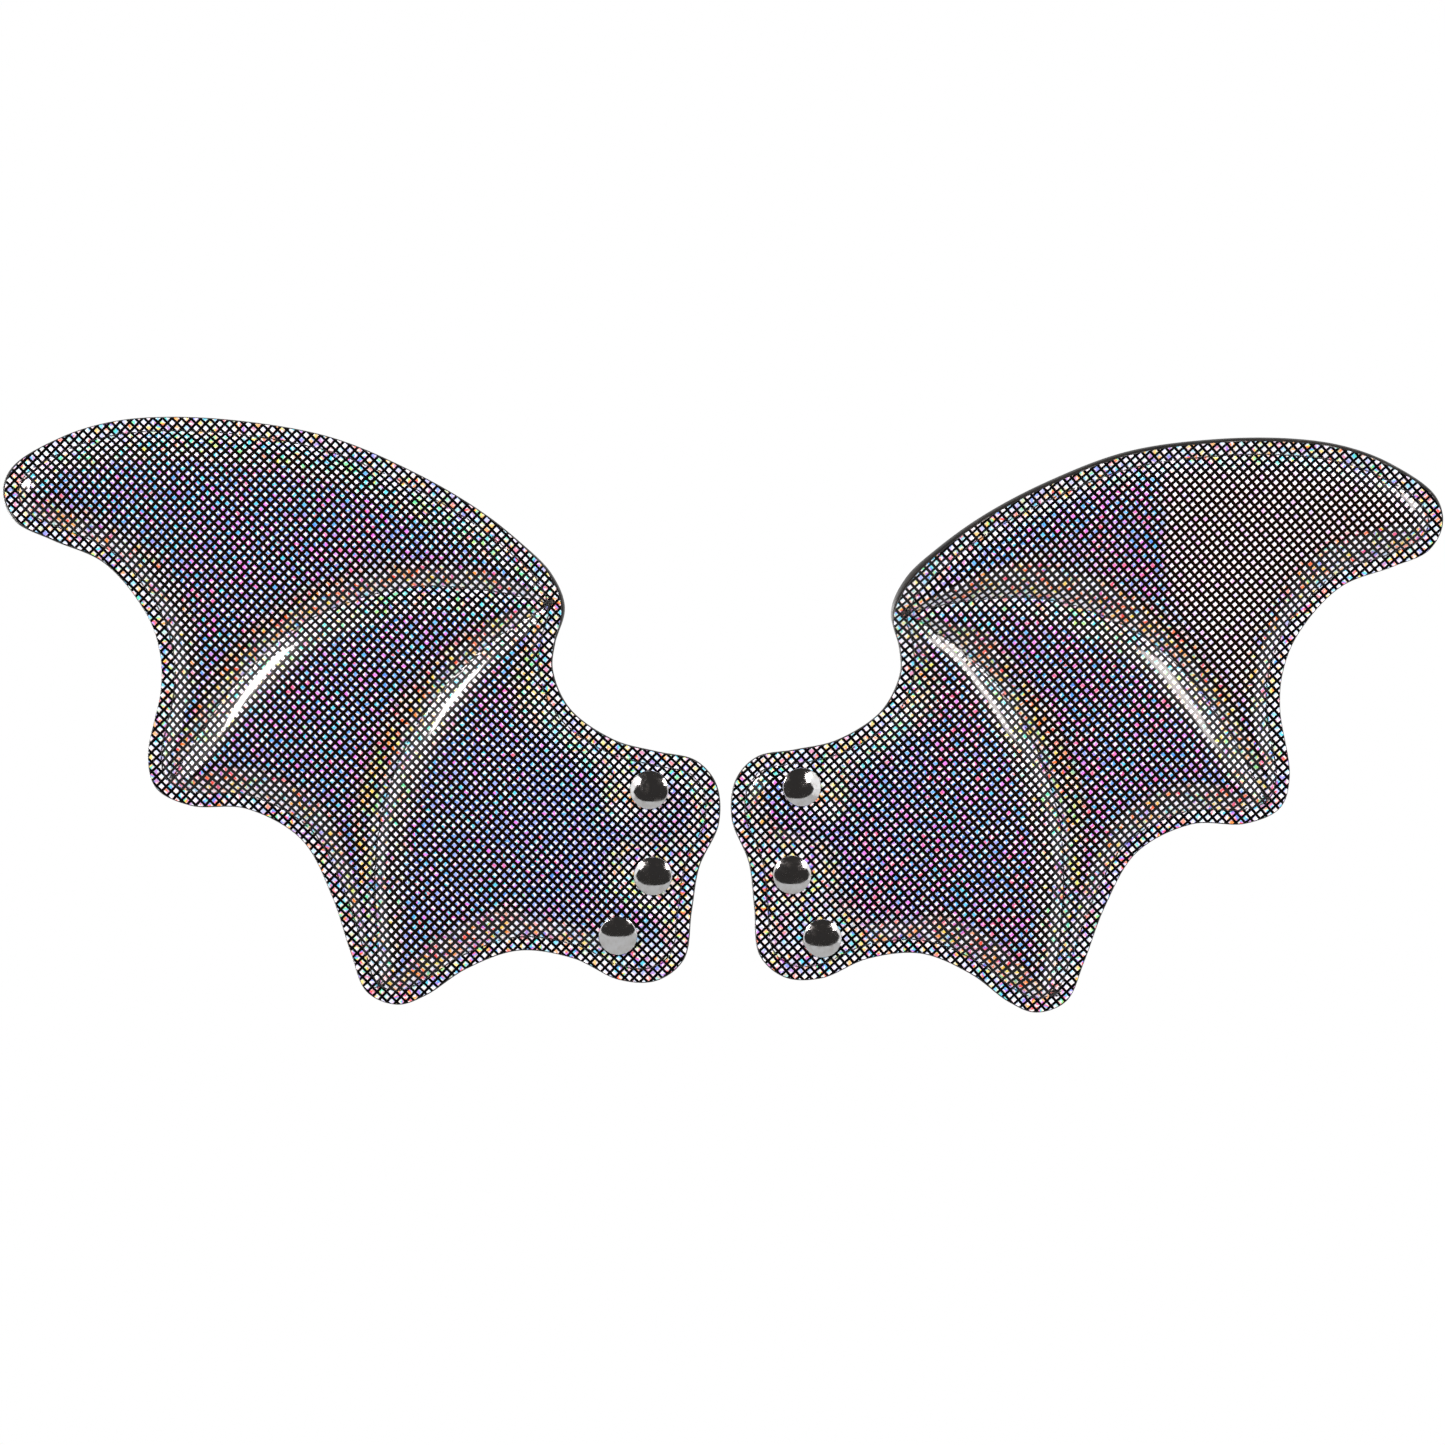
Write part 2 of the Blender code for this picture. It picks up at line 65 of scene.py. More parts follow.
# Depths forward from the back of the lining, and the CAD's other sizes.
SOCKET_DEPTH = 0.0035
LINING_FRONT = 0.0008
BOARD_CLEAR = 0.0024
FACE_BACK = 0.0037
FACE_FRONT = 0.0046
CROWN = 0.0045
CROWN_FLANK = 0.012
CROWN_ROUND = 1.92
STITCH_INSET = 0.0042
RIGHT_WIDTH = 0.973
RIGHT_HEIGHT = 0.995
RIGHT_TURN = math.radians(2.55)
RIGHT_SHIFT = (-0.0003, 0.0018)

SEAM_FLAT = 0.0004      # half the width of the valley that a seam presses flat
DIMPLE_RADIUS = 0.0065
DIMPLE_FLANK = 0.012
HOLE_RADIUS = 0.0022
EDGE_BEAD = 0.0004      # how far the black edge stands out past the film
FINE_GRID = 0.0010      # spacing of points beside the seams
COARSE_GRID = 0.0021    # and on the flat of a panel
FINE_REACH = 0.0055
STITCH_PITCH = 0.0033
THREAD_RADIUS = 0.00018
PUCKER = (0.00022, 0.0009)          # depth and width of the dint round a needle hole in the film
BACK_PUCKER = (0.00012, 0.0010)     # and in the lining
NECK_SWELL = 0.5        # share of the padding that remains beside the snaps
NECK = (0.078, 0.075)   # inboard of and below these, in u and v, the padding thins
NECK_FADE = 0.020
CLOTH_GRID = 0.0035     # spacing of points in the cloth simulation
CLOTH_STEPS = 20
BLOW_LIMIT = 0.0007     # the most that the simulation adds to the padding

# The printed lattice: two sets of lines, nearly square to each other, across the unrolled film.
LATTICE = ((math.radians(44), 0.00227), (math.radians(134.3), 0.00212))
RAINBOW = (
    (0.0, (1.0, 0.09, 0.05)), (0.14, (1.0, 0.36, 0.05)), (0.28, (0.95, 0.80, 0.14)),
    (0.42, (0.16, 0.80, 0.30)), (0.56, (0.10, 0.72, 0.86)), (0.72, (0.14, 0.26, 0.95)),
    (0.86, (0.62, 0.20, 0.86)), (1.0, (1.0, 0.09, 0.05)),
)
LINE_SHARE = 0.47
LINE_BLUR = 0.06

random = np.random.default_rng(20)


# --- flat geometry ---

def smooth(t):
    t = np.clip(t, 0.0, 1.0)
    return t * t * (3 - 2 * t)


def lengths(vectors):
    return np.linalg.norm(vectors, axis=-1)


def closed_up(loop):
    return np.vstack([loop, loop[:1]])


def curve_through(points, steps, closed):
    """A centripetal Catmull-Rom curve through 2D points, sampled in equal steps of its parameter."""
    points = np.asarray(points, float)
    if closed:
        padded = np.vstack([points[-1], points, points[:2]])
    else:
        padded = np.vstack([2 * points[0] - points[1], points, 2 * points[-1] - points[-2]])
    samples = []
    for first in range(len(padded) - 3):
        p = padded[first:first + 4]
        knots = np.concatenate([[0.0], np.cumsum(lengths(np.diff(p, axis=0)) ** 0.5)])
        for t in np.linspace(knots[1], knots[2], steps, endpoint=False):
            level = list(p)
            for width in (1, 2):
                level = [
                    ((knots[i + width] - t) * level[i] + (t - knots[i]) * level[i + 1])
                    / (knots[i + width] - knots[i])
                    for i in range(len(level) - 1)
                ]
            samples.append(((knots[2] - t) * level[0] + (t - knots[1]) * level[1]) / (knots[2] - knots[1]))
    if not closed:
        samples.append(points[-1])
    return np.array(samples)


def inset(loop, distance):
    """A closed anticlockwise loop moved inwards."""
    along = np.roll(loop, -1, axis=0) - np.roll(loop, 1, axis=0)
    along /= lengths(along)[:, None]
    return loop + distance * np.column_stack([-along[:, 1], along[:, 0]])


def distance_to(points, line, closed=False):
    """How far each point is from a chain of straight pieces."""
    starts = line if closed else line[:-1]
    ends = np.roll(line, -1, axis=0) if closed else line[1:]
    nearest = np.full(len(points), np.inf)
    for start, end in zip(starts, ends):
        run = end - start
        share = np.clip((points - start) @ run / (run @ run), 0, 1)
        away = points - start - share[:, None] * run
        nearest = np.minimum(nearest, (away * away).sum(axis=1))
    return np.sqrt(nearest)


def inside(points, loop):
    """Whether each point lies inside a closed loop."""
    found = np.zeros(len(points), bool)
    for (u0, v0), (u1, v1) in zip(loop, np.roll(loop, -1, axis=0)):
        crosses = (v0 > points[:, 1]) != (v1 > points[:, 1])
        slope = (u1 - u0) / (v1 - v0) if v1 != v0 else 0.0
        found ^= crosses & (points[:, 0] < u0 + (points[:, 1] - v0) * slope)
    return found


def circle(centre, radius, steps=24):
    turns = np.arange(steps) * 2 * math.pi / steps
    return np.array(centre) + radius * np.column_stack([np.cos(turns), np.sin(turns)])


def resampled(line, spacing, closed=False):
    """The same chain with points a given length apart, and the last gap closed evenly."""
    if closed:
        line = closed_up(line)
    reach = np.concatenate([[0.0], np.cumsum(lengths(np.diff(line, axis=0)))])
    count = max(2, round(reach[-1] / spacing))
    wanted = np.linspace(0, reach[-1], count + 1)
    found = np.column_stack([np.interp(wanted, reach, line[:, i]) for i in (0, 1)])
    return found[:-1] if closed else found


def lattice(loop, spacing):
    low, high = loop.min(axis=0), loop.max(axis=0)
    rows = []
    for row, v in enumerate(np.arange(low[1], high[1], spacing * math.sqrt(0.75))):
        u = np.arange(low[0] + 0.5 * spacing * (row % 2), high[0], spacing)
        rows.append(np.column_stack([u, np.full(len(u), v)]))
    points = np.vstack(rows)
    return points[inside(points, loop)]


def flat_mesh(loop, lines, holes, fine, coarse, reach):
    """Triangles that fill a loop, small beside its seams, with edges along the lines and round the holes."""
    chains = [(loop, True)] + [(line, False) for line in lines] + [(hole, True) for hole in holes]
    grids = []
    for spacing, near in ((fine, True), (coarse, False)):
        grid = lattice(loop, spacing)
        away = np.min([distance_to(grid, chain, closed) for chain, closed in chains], axis=0)
        keep = (away > 0.45 * spacing) & ((away < reach) if near else (away >= reach))
        grids.append(grid[keep])
    grid = np.vstack(grids)
    for hole in holes:
        grid = grid[~inside(grid, hole)]
    points, edges = [], []
    for chain, closed in chains:
        first = len(points)
        points.extend(chain)
        edges.extend((first + i, first + i + 1) for i in range(len(chain) - 1))
        if closed:
            edges.append((first + len(chain) - 1, first))
    points.extend(grid)
    found = delaunay_2d_cdt([Vector(p) for p in points], edges, [], 0, 1e-7)
    corners = np.array([tuple(p) for p in found[0]])
    triangles = np.array([tuple(t) for t in found[2]])
    middles = corners[triangles].mean(axis=1)
    wanted = inside(middles, loop)
    for hole in holes:
        wanted &= ~inside(middles, hole)
    triangles = triangles[wanted]
    used = np.unique(triangles)
    return corners[used], np.searchsorted(used, triangles)


def border_loops(triangles):
    """The loops of vertices round a triangulated plan, each in order."""
    sides = {(a, b) for t in triangles.tolist() for a, b in zip(t, t[1:] + t[:1])}
    after = {a: b for a, b in sides if (b, a) not in sides}
    loops = []
    while after:
        first, here = after.popitem()
        loop = [first]
        while here != first:
            loop.append(here)
            here = after.pop(here)
        loops.append(loop)
    return sorted(loops, key=len, reverse=True)


# --- a wing ---

def leading_edge_curl(u, v):
    """How far the right wing bends back towards its top edge, away from a flat disc low on the blade."""
    middle_u, middle_v, disc, rim = 0.175, 0.010, 0.085, 0.055
    reach = np.clip((np.hypot(u - middle_u, v - middle_v) - disc) / rim, 0, None)
    return 0.0095 * reach**2 * smooth((v - 0.060) / 0.045)


def tip_and_wrist_curl(u, v):
    """How far the left wing bends back at its tip and at its upper inner corner."""
    tip = np.clip((u - 0.190) / 0.043, 0, None)
    wrist = np.clip((0.075 - u) / 0.023, 0, None) * smooth((v - 0.060) / 0.030)
    return 0.0058 * tip**2 + 0.0029 * wrist**2


class Wing:
    """One wing's cut lines in (u, v), and where they lie in space."""

    def __init__(self, side, sign, scale, turn, shift, curl, cap_leans):
        self.side = side
        self.root = side + "_root"
        self.blade = side + "_blade"
        self.sign = sign
        self.turn = turn
        self.shift = shift
        self.curl = curl
        self.cap_leans = cap_leans
        self.outline = curve_through(np.array(OUTLINE_MM) * MM * scale, OUTLINE_STEPS, True)
        self.stitch = inset(self.outline, STITCH_INSET)
        self.ribs = {
            "upper": curve_through(np.array(UPPER_RIB_MM) * MM * scale, RIB_STEPS, False),
            "lower": curve_through(np.array(LOWER_RIB_MM) * MM * scale, RIB_STEPS, False),
        }
        self.seam_lines = [closed_up(self.stitch), *self.ribs.values()]
        self.snap_places = [self.middle_of(f"{side}_snap_cap_{n}") for n in (1, 2, 3)]
        self.snaps = [self.flat_of(place.x, place.z) for place in self.snap_places]
        self.holes = [circle(snap, HOLE_RADIUS) for snap in self.snaps]
        joint = next(j for j in frame["joints"] if j["name"] == side + "_flex")
        self.hinge = Vector(joint["pos_m"])
        self.outboard = Vector(joint["axis"]).cross(Vector((0, 1, 0))).normalized()

    @staticmethod
    def middle_of(node):
        low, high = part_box(node)
        return (low + high) / 2

    def flat_of(self, x, z):
        """The flat place of a point in space, where the sheet has no curl."""
        x, z = x - self.shift[0], z - self.shift[1]
        c, s = math.cos(self.turn), math.sin(self.turn)
        return np.array((self.sign * (x * c - z * s), x * s + z * c))

    def turned(self, points):
        c, s = math.cos(self.turn), math.sin(self.turn)
        x, z = points[:, 0], points[:, 2]
        return np.column_stack([x * c + z * s, points[:, 1], z * c - x * s])

    def forward(self, flat):
        """Which way the decorated side of the sheet faces."""
        u, v = flat[:, 0], flat[:, 1]
        step = 1e-5
        lean_x = self.sign * (self.curl(u + step, v) - self.curl(u - step, v)) / (2 * step)
        lean_z = (self.curl(u, v + step) - self.curl(u, v - step)) / (2 * step)
        facing = -np.column_stack([lean_x, np.ones(len(u)), lean_z])
        return self.turned(facing / lengths(facing)[:, None])

    def place(self, flat, depth):
        u, v = flat[:, 0], flat[:, 1]
        sheet = np.column_stack([self.sign * u, -SOCKET_DEPTH - self.curl(u, v), v])
        shift = np.array((self.shift[0], 0.0, self.shift[1]))
        depth = np.broadcast_to(depth, len(u))[:, None]
        return self.turned(sheet) + shift + self.forward(flat) * depth

    def cut(self, fine, coarse, reach):
        """Triangles that fill the cut shape, with edges along its seams and round its snap holes."""
        return flat_mesh(self.outline, self.seam_lines, self.holes, fine, coarse, reach)

    def seam_distance(self, flat):
        away = distance_to(flat, self.stitch, closed=True) * inside(flat, self.stitch)
        for rib in self.ribs.values():
            away = np.minimum(away, distance_to(flat, rib))
        return away

    def snap_clear(self, flat):
        """Nothing under the caps and sockets, rising to one away from them."""
        clear = np.ones(len(flat))
        for snap in self.snaps:
            radius = lengths(flat - snap)
            clear *= smooth((radius - DIMPLE_RADIUS) / DIMPLE_FLANK)
        return clear

    def seat(self, number, flat):
        """How far the seat of a tilted cap stands forward: nothing on its lowest side."""
        lean_x, lean_z = self.cap_leans[number]
        offset = flat - self.snaps[number]
        slope = lean_x * self.sign * offset[:, 0] + lean_z * offset[:, 1]
        return math.hypot(lean_x, lean_z) * DIMPLE_RADIUS - slope

    def swell(self, flat):
        """How far the padding stands forward of the flange."""
        away = np.clip(self.seam_distance(flat) - SEAM_FLAT, 0, None)
        rise = CROWN * (1 - np.clip(1 - away / CROWN_FLANK, 0, 1) ** CROWN_ROUND)
        near_neck = smooth((NECK[0] - flat[:, 0]) / NECK_FADE) * smooth((NECK[1] - flat[:, 1]) / NECK_FADE)
        rise *= (1 - (1 - NECK_SWELL) * near_neck) * self.snap_clear(flat)
        for number, snap in enumerate(self.snaps):
            radius = lengths(flat - snap)
            held = (1 - smooth((radius - DIMPLE_RADIUS) / DIMPLE_FLANK)) * smooth(away / 0.004)
            rise += held * np.clip(self.seat(number, flat), 0, None)
        return rise

    def bend(self, piece):
        """The piece's placing is baked into its points."""
        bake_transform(piece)


# --- meshes ---

def linked(name, data):
    made = bpy.data.objects.new(name, data)
    bpy.context.scene.collection.objects.link(made)
    return made


def add_piece(name, points, faces, materials, slots=None, smooth_angle=50):
    mesh = bpy.data.meshes.new(name)
    mesh.from_pydata([tuple(p) for p in points], [], faces)
    for material in materials:
        mesh.materials.append(material)
    if slots is not None:
        mesh.polygons.foreach_set("material_index", np.asarray(slots, np.int32))
    mesh.shade_smooth()
    mesh.set_sharp_from_angle(angle=math.radians(smooth_angle))
    mesh.update()
    return linked(name, mesh)


def store(piece, name, values):
    """A vector for each vertex, which the material reads by name."""
    attribute = piece.data.attributes.new(name, "FLOAT_VECTOR", "POINT")
    attribute.data.foreach_set("vector", np.ascontiguousarray(values, np.float32).ravel())


def sheet_solid(wing, flat, triangles, back, front, edge_rings):
    """Closed sheet: front, back, and rings of points (flat offset outwards, depth) round its outer edge."""
    count = len(flat)
    points = [front, back]
    facing = wing.sign
    faces = [tuple(t[::facing]) for t in triangles.tolist()]
    faces += [tuple(x + count for x in t[::-facing]) for t in triangles.tolist()]
    total = 2 * count
    edge_from = len(faces)
    for number, loop in enumerate(border_loops(triangles)):
        rings = [list(loop)]
        if number == 0:
            for offset, depth in edge_rings:
                points.append(wing.place(inset(flat[loop], -offset), depth))
                rings.append(list(range(total, total + len(loop))))
                total += len(loop)
        rings.append([i + count for i in loop])
        for upper, lower in zip(rings, rings[1:]):
            for i in range(len(loop)):
                j = (i + 1) % len(loop)
                faces.append((upper[j], upper[i], lower[i], lower[j])[::facing])
    slots = np.zeros(len(faces), int)
    slots[edge_from:] = 1
    return np.vstack(points), faces, slots


def vertex_normals(points, triangles):
    across = np.cross(
        points[triangles[:, 1]] - points[triangles[:, 0]],
        points[triangles[:, 2]] - points[triangles[:, 0]],
    )
    normals = np.zeros_like(points)
    for corner in range(3):
        for axis in range(3):
            normals[:, axis] += np.bincount(triangles[:, corner], across[:, axis], len(points))
    return normals / lengths(normals)[:, None]


def unrolled(flat, space, triangles, rounds):
    """Where each point of the film lay when the film was flat and printed: lengths along it are kept."""
    sides = {tuple(sorted((a, b))) for t in triangles.tolist() for a, b in zip(t, t[1:] + t[:1])}
    a, b = np.array(sorted(sides)).T
    wanted = lengths(space[a] - space[b])
    laid = flat.copy()
    valence = np.bincount(a, minlength=len(flat)) + np.bincount(b, minlength=len(flat))
    for _ in range(rounds):
        run = laid[b] - laid[a]
        length = lengths(run)
        pull = run * (0.5 * (1 - wanted / length))[:, None]
        for axis in (0, 1):
            move = np.bincount(a, pull[:, axis], len(flat)) - np.bincount(b, pull[:, axis], len(flat))
            laid[:, axis] += 1.6 * move / valence
    return laid


def spread(places, values, targets, width=0.0060, near=45):
    """Values known at some flat points, carried smoothly to others."""
    tree = KDTree(len(places))
    for index, place in enumerate(places):
        tree.insert((*place, 0.0), index)
    tree.balance()
    found = np.zeros((len(targets), values.shape[1]))
    for row, target in enumerate(targets):
        hits = tree.find_n((*target, 0.0), near)
        weights = np.exp(-((np.array([hit[2] for hit in hits]) / width) ** 2))
        found[row] = weights @ values[[hit[1] for hit in hits]] / weights.sum()
    return found


# --- the padded film ---

def inflate(wing):
    """A cloth simulation of the film, held at its seams and blown out by the foam behind it.

    Returns flat places and how far the film moves from its plain swell at each.
    """
    outline = resampled(wing.outline, CLOTH_GRID, True)
    stitch = closed_up(resampled(wing.stitch, CLOTH_GRID, True))
    ribs = [resampled(rib, CLOTH_GRID) for rib in wing.ribs.values()]
    flat, triangles = flat_mesh(outline, [stitch, *ribs], [], CLOTH_GRID, CLOTH_GRID, 0.004)
    full = wing.place(flat, FACE_FRONT + wing.swell(flat))
    start = wing.place(flat, FACE_FRONT + 0.85 * wing.swell(flat))
    size = 10.0     # the solver is steadier on a larger model
    mesh = bpy.data.meshes.new("inflating")
    mesh.from_pydata((start * size).tolist(), [], [tuple(t[::wing.sign]) for t in triangles.tolist()])
    cloth = linked("inflating", mesh)
    held = (wing.seam_distance(flat) < 0.0006) | (wing.snap_clear(flat) < 0.05)
    group = cloth.vertex_groups.new(name="held")
    group.add(np.nonzero(held)[0].tolist(), 1.0, "REPLACE")
    modifier = cloth.modifiers.new("cloth", "CLOTH")
    settings = modifier.settings
    settings.quality = 6
    settings.mass = 0.3
    settings.tension_stiffness = 12
    settings.compression_stiffness = 12
    settings.shear_stiffness = 6
    settings.bending_stiffness = 1.5
    settings.use_pressure = True
    settings.uniform_pressure_force = 1.5
    settings.shrink_min = -0.004
    settings.vertex_group_mass = "held"
    settings.effector_weights.gravity = 0.0
    modifier.point_cache.frame_start = 1
    modifier.point_cache.frame_end = CLOTH_STEPS
    scene = bpy.context.scene
    for step in range(1, CLOTH_STEPS + 1):
        scene.frame_set(step)
    graph = bpy.context.evaluated_depsgraph_get()
    blown = cloth.evaluated_get(graph).to_mesh()
    points = np.zeros(len(blown.vertices) * 3, np.float32)
    blown.vertices.foreach_get("co", points)
    moved = points.reshape(-1, 3) / size - full
    cloth.evaluated_get(graph).to_mesh_clear()
    bpy.data.objects.remove(cloth)
    scene.frame_set(1)
    length = lengths(moved)[:, None]
    moved *= BLOW_LIMIT * np.tanh(length / BLOW_LIMIT) / np.maximum(length, 1e-9)
    print(wing.side, "inflated: mean and largest move", float(length.mean()), float(length.max()))
    return flat, moved * (~held)[:, None]


def needle_holes(wing):
    """The flat places where the needle went through, seam by seam."""
    seams = {"edge": closed_up(resampled(wing.stitch, STITCH_PITCH, True))}
    for rib, line in wing.ribs.items():
        seams[rib] = resampled(line, STITCH_PITCH)
    return seams


def puckers(flat, seams, depth, width):
    """How far the stitches draw a sheet in, summed over the needle holes."""
    drawn = np.zeros(len(flat))
    for hole in np.vstack(list(seams.values())):
        drawn += depth * np.exp(-((lengths(flat - hole) / width) ** 2))
    return drawn


def film(wing, seams, materials):
    """The decorated face: one sheet over both bodies, puffed into panels and puckered at each stitch."""
    flat, triangles = wing.cut(FINE_GRID, COARSE_GRID, FINE_REACH)
    front = wing.place(flat, FACE_FRONT + wing.swell(flat) - puckers(flat, seams, *PUCKER))
    places, moved = inflate(wing)
    free = smooth(wing.seam_distance(flat) / 0.007) * wing.snap_clear(flat)
    front += spread(places, moved, flat) * free[:, None]
    back = front - wing.forward(flat) * (FACE_FRONT - FACE_BACK)
    rings = [(0.00006, FACE_FRONT - 0.00012), (0.00006, FACE_BACK + 0.00012)]
    points, faces, slots = sheet_solid(wing, flat, triangles, back, front, rings)
    piece = add_piece(wing.side + "_film", points, faces, materials, slots, smooth_angle=28)
    normals = vertex_normals(front, triangles[:, ::wing.sign])
    # The film's lean and puff, which its material turns into painted light on the slopes and painted shade
    # in the ink where the film lies low.
    lean = np.column_stack([wing.sign * normals[:, 0], normals[:, 2], wing.swell(flat) / CROWN])
    laid = unrolled(flat, front, triangles, rounds=260)
    rest = len(points) - 2 * len(flat)
    edge = np.zeros((rest, 2))
    store(piece, "lean", np.vstack([lean, lean, np.tile((0.0, 0.0, 1.0), (rest, 1))]))
    laid_all = np.column_stack([np.vstack([laid, laid, edge]), np.zeros(len(points))])
    store(piece, "print_place", laid_all)
    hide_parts(wing.side + "_face_root", wing.side + "_face_blade")
    wing.bend(piece)


def core(wing, material):
    """The black foam between film and lining, with its painted edge standing just past the film's."""
    flat, triangles = wing.cut(fine=0.0022, coarse=0.0045, reach=0.009)
    edge = distance_to(flat, wing.outline, closed=True)
    back = LINING_FRONT + 0.00005 + (BOARD_CLEAR - LINING_FRONT) * smooth((edge - 0.0038) / 0.0020)
    front = FACE_BACK - 0.0004 + 0.85 * wing.swell(flat)
    bead = EDGE_BEAD
    rings = [
        (-0.1 * bead, FACE_BACK - 0.00004), (0.55 * bead, FACE_BACK - 0.0001),
        (0.9 * bead, FACE_BACK - 0.0005), (bead, 0.0023), (0.9 * bead, LINING_FRONT + 0.0005),
        (0.55 * bead, LINING_FRONT + 0.0001), (-0.1 * bead, LINING_FRONT + 0.00004),
    ]
    solid = sheet_solid(wing, flat, triangles, wing.place(flat, back), wing.place(flat, front), rings)
    piece = add_piece(wing.side + "_foam_core", solid[0], solid[1], [material])
    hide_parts(wing.side + "_foam_root", wing.side + "_foam_blade")
    wing.bend(piece)


def lining(wing, seams, material):
    """The leatherette back: one sheet that swells a little between its seams."""
    flat, triangles = wing.cut(fine=0.0013, coarse=0.0032, reach=0.0045)
    away = np.clip(wing.seam_distance(flat) - SEAM_FLAT, 0, None)
    bulge = 0.0005 * (1 - np.clip(1 - away / 0.007, 0, 1) ** 2) * wing.snap_clear(flat)
    front = wing.place(flat, LINING_FRONT - bulge * 0.9)
    back = wing.place(flat, puckers(flat, seams, *BACK_PUCKER) - bulge)
    rings = [(0.00005, LINING_FRONT - 0.0001), (0.0001, 0.0004), (0.00005, 0.0001)]
    points, faces, _ = sheet_solid(wing, flat, triangles, back, front, rings)
    piece = add_piece(wing.side + "_lining", points, faces, [material])
    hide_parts(wing.side + "_lining_root", wing.side + "_lining_blade")
    wing.bend(piece)


# --- threads ---

def tubes(centres, outward, radii, sides=6):
    """Many closed tubes at once. centres and outward are (tubes, rings, 3); radii has one value a ring."""
    along = np.gradient(centres, axis=1)
    along /= lengths(along)[..., None]
    across = np.cross(along, outward)
    across /= lengths(across)[..., None]
    up = np.cross(across, along)
    turns = np.arange(sides) * 2 * math.pi / sides
    ring = np.cos(turns)[:, None] * up[:, :, None] + np.sin(turns)[:, None] * across[:, :, None]
    points = centres[:, :, None] + np.asarray(radii)[:, None, None] * ring
    count, rings = centres.shape[:2]
    faces = []
    for tube in range(count):
        first = tube * rings * sides
        for step in range(rings - 1):
            here = first + step * sides
            for side in range(sides):
                after = (side + 1) % sides
                faces.append((here + side, here + after, here + sides + after, here + sides + side))
        faces.append(tuple(first + side for side in reversed(range(sides))))
        last = first + (rings - 1) * sides
        faces.append(tuple(last + side for side in range(sides)))
    twist = np.zeros((count, rings, sides, 3))
    gaps = lengths(np.diff(centres, axis=1))
    reach = np.concatenate([np.zeros((count, 1)), np.cumsum(gaps, axis=1)], axis=1)
    twist[..., 0] = reach[:, :, None]
    twist[..., 1] = np.cos(turns)
    twist[..., 2] = np.sin(turns)
    return points.reshape(-1, 3), faces, twist.reshape(-1, 3)


def sewn(wing, flat, rise, on_face, radii):
    """Threads on one side of the sheet. flat is (threads, rings, 2); rise has one height for each ring."""
    shape = (*flat.shape[:2], 3)
    flat, rise = flat.reshape(-1, 2), rise.ravel()
    outward = wing.forward(flat) * (1 if on_face else -1)
    middles = wing.place(flat, FACE_FRONT + rise if on_face else -rise)
    return tubes(middles.reshape(shape), outward.reshape(shape), radii)


def stitch_tubes(wing, line, on_face):
    """One short thread between each two needle holes, dipping into them."""
    steps = np.array((0.04, 0.08, 0.17, 0.35, 0.65, 0.83, 0.92, 0.96))
    dips = np.array((-1.6, -0.5, 0.35, 0.7, 0.7, 0.35, -0.5, -1.6)) * THREAD_RADIUS
    radii = np.array((0.55, 0.85, 1.0, 1.06, 1.06, 1.0, 0.85, 0.55)) * THREAD_RADIUS
    starts, ends = line[:-1], line[1:]
    run = ends - starts
    side = np.column_stack([-run[:, 1], run[:, 0]]) / lengths(run)[:, None]
    slant = 0.00022 if on_face else -0.00015
    flat = starts[:, None] + steps[None, :, None] * run[:, None]
    flat = flat + slant * np.linspace(-1, 1, len(steps))[None, :, None] * side[:, None]
    uneven = 1 + 0.15 * random.standard_normal(len(starts))[:, None]
    return sewn(wing, flat, dips * uneven, on_face, radii)


def stitches(wing, seams, material):
    for seam, line in seams.items():
        for on_face in (True, False):
            points, faces, twist = stitch_tubes(wing, line, on_face)
            thread = "thread" if on_face else "bobbin"
            if seam == "edge":
                name = f"{wing.side}_edge_{thread}_stitches"
                nodes = [f"{wing.side}_edge_{thread}_{part}" for part in ("root", "blade")]
            else:
                name = f"{wing.side}_{seam}_rib_{thread}_stitches"
                nodes = [f"{wing.side}_{seam}_rib_{thread}"]
            piece = add_piece(name, points, faces, [material])
            store(piece, "twist", twist)
            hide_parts(*nodes)
            if seam == "edge":
                wing.bend(piece)
            else:
                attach(piece, wing.blade)


def back_tacks(wing, material):
    """The knotted ends of the rib seams, sewn back and forth over themselves."""
    places = [(wing.ribs["upper"][0], 10), (wing.ribs["upper"][-1], 5), (wing.ribs["lower"][-1], 6)]
    steps = np.linspace(0, 1, 7)
    radii = np.array((0.5, 0.9, 1.0, 1.0, 1.0, 0.9, 0.5)) * THREAD_RADIUS
    arch = np.array((-0.5, 0.7, 1.5, 1.9, 1.5, 0.7, -0.5)) * THREAD_RADIUS
    for on_face in (True, False):
        flats, rises = [], []
        for place, count in places:
            for number in range(count):
                angle = random.uniform(0, 2 * math.pi)
                middle = place + random.normal(0, 0.0007, 2)
                run = np.array((math.cos(angle), math.sin(angle))) * random.uniform(0.0009, 0.0016)
                flats.append(middle + (2 * steps[:, None] - 1) * run)
                rises.append(arch + 0.25 * number * THREAD_RADIUS * np.sin(math.pi * steps))
        points, faces, twist = sewn(wing, np.array(flats), np.array(rises), on_face, radii)
        name = f"{wing.side}_back_tacks_{'front' if on_face else 'back'}"
        piece = add_piece(name, points, faces, [material])
        store(piece, "twist", twist)
        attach(piece, wing.blade)


# --- snaps ---

def arc(centre, radius, start, end, steps):
    """Points (r, depth) along part of a circle, from one angle to another in degrees."""
    turns = np.radians(np.linspace(start, end, steps))
    return [(centre[0] + radius * math.cos(t), centre[1] + radius * math.sin(t)) for t in turns]


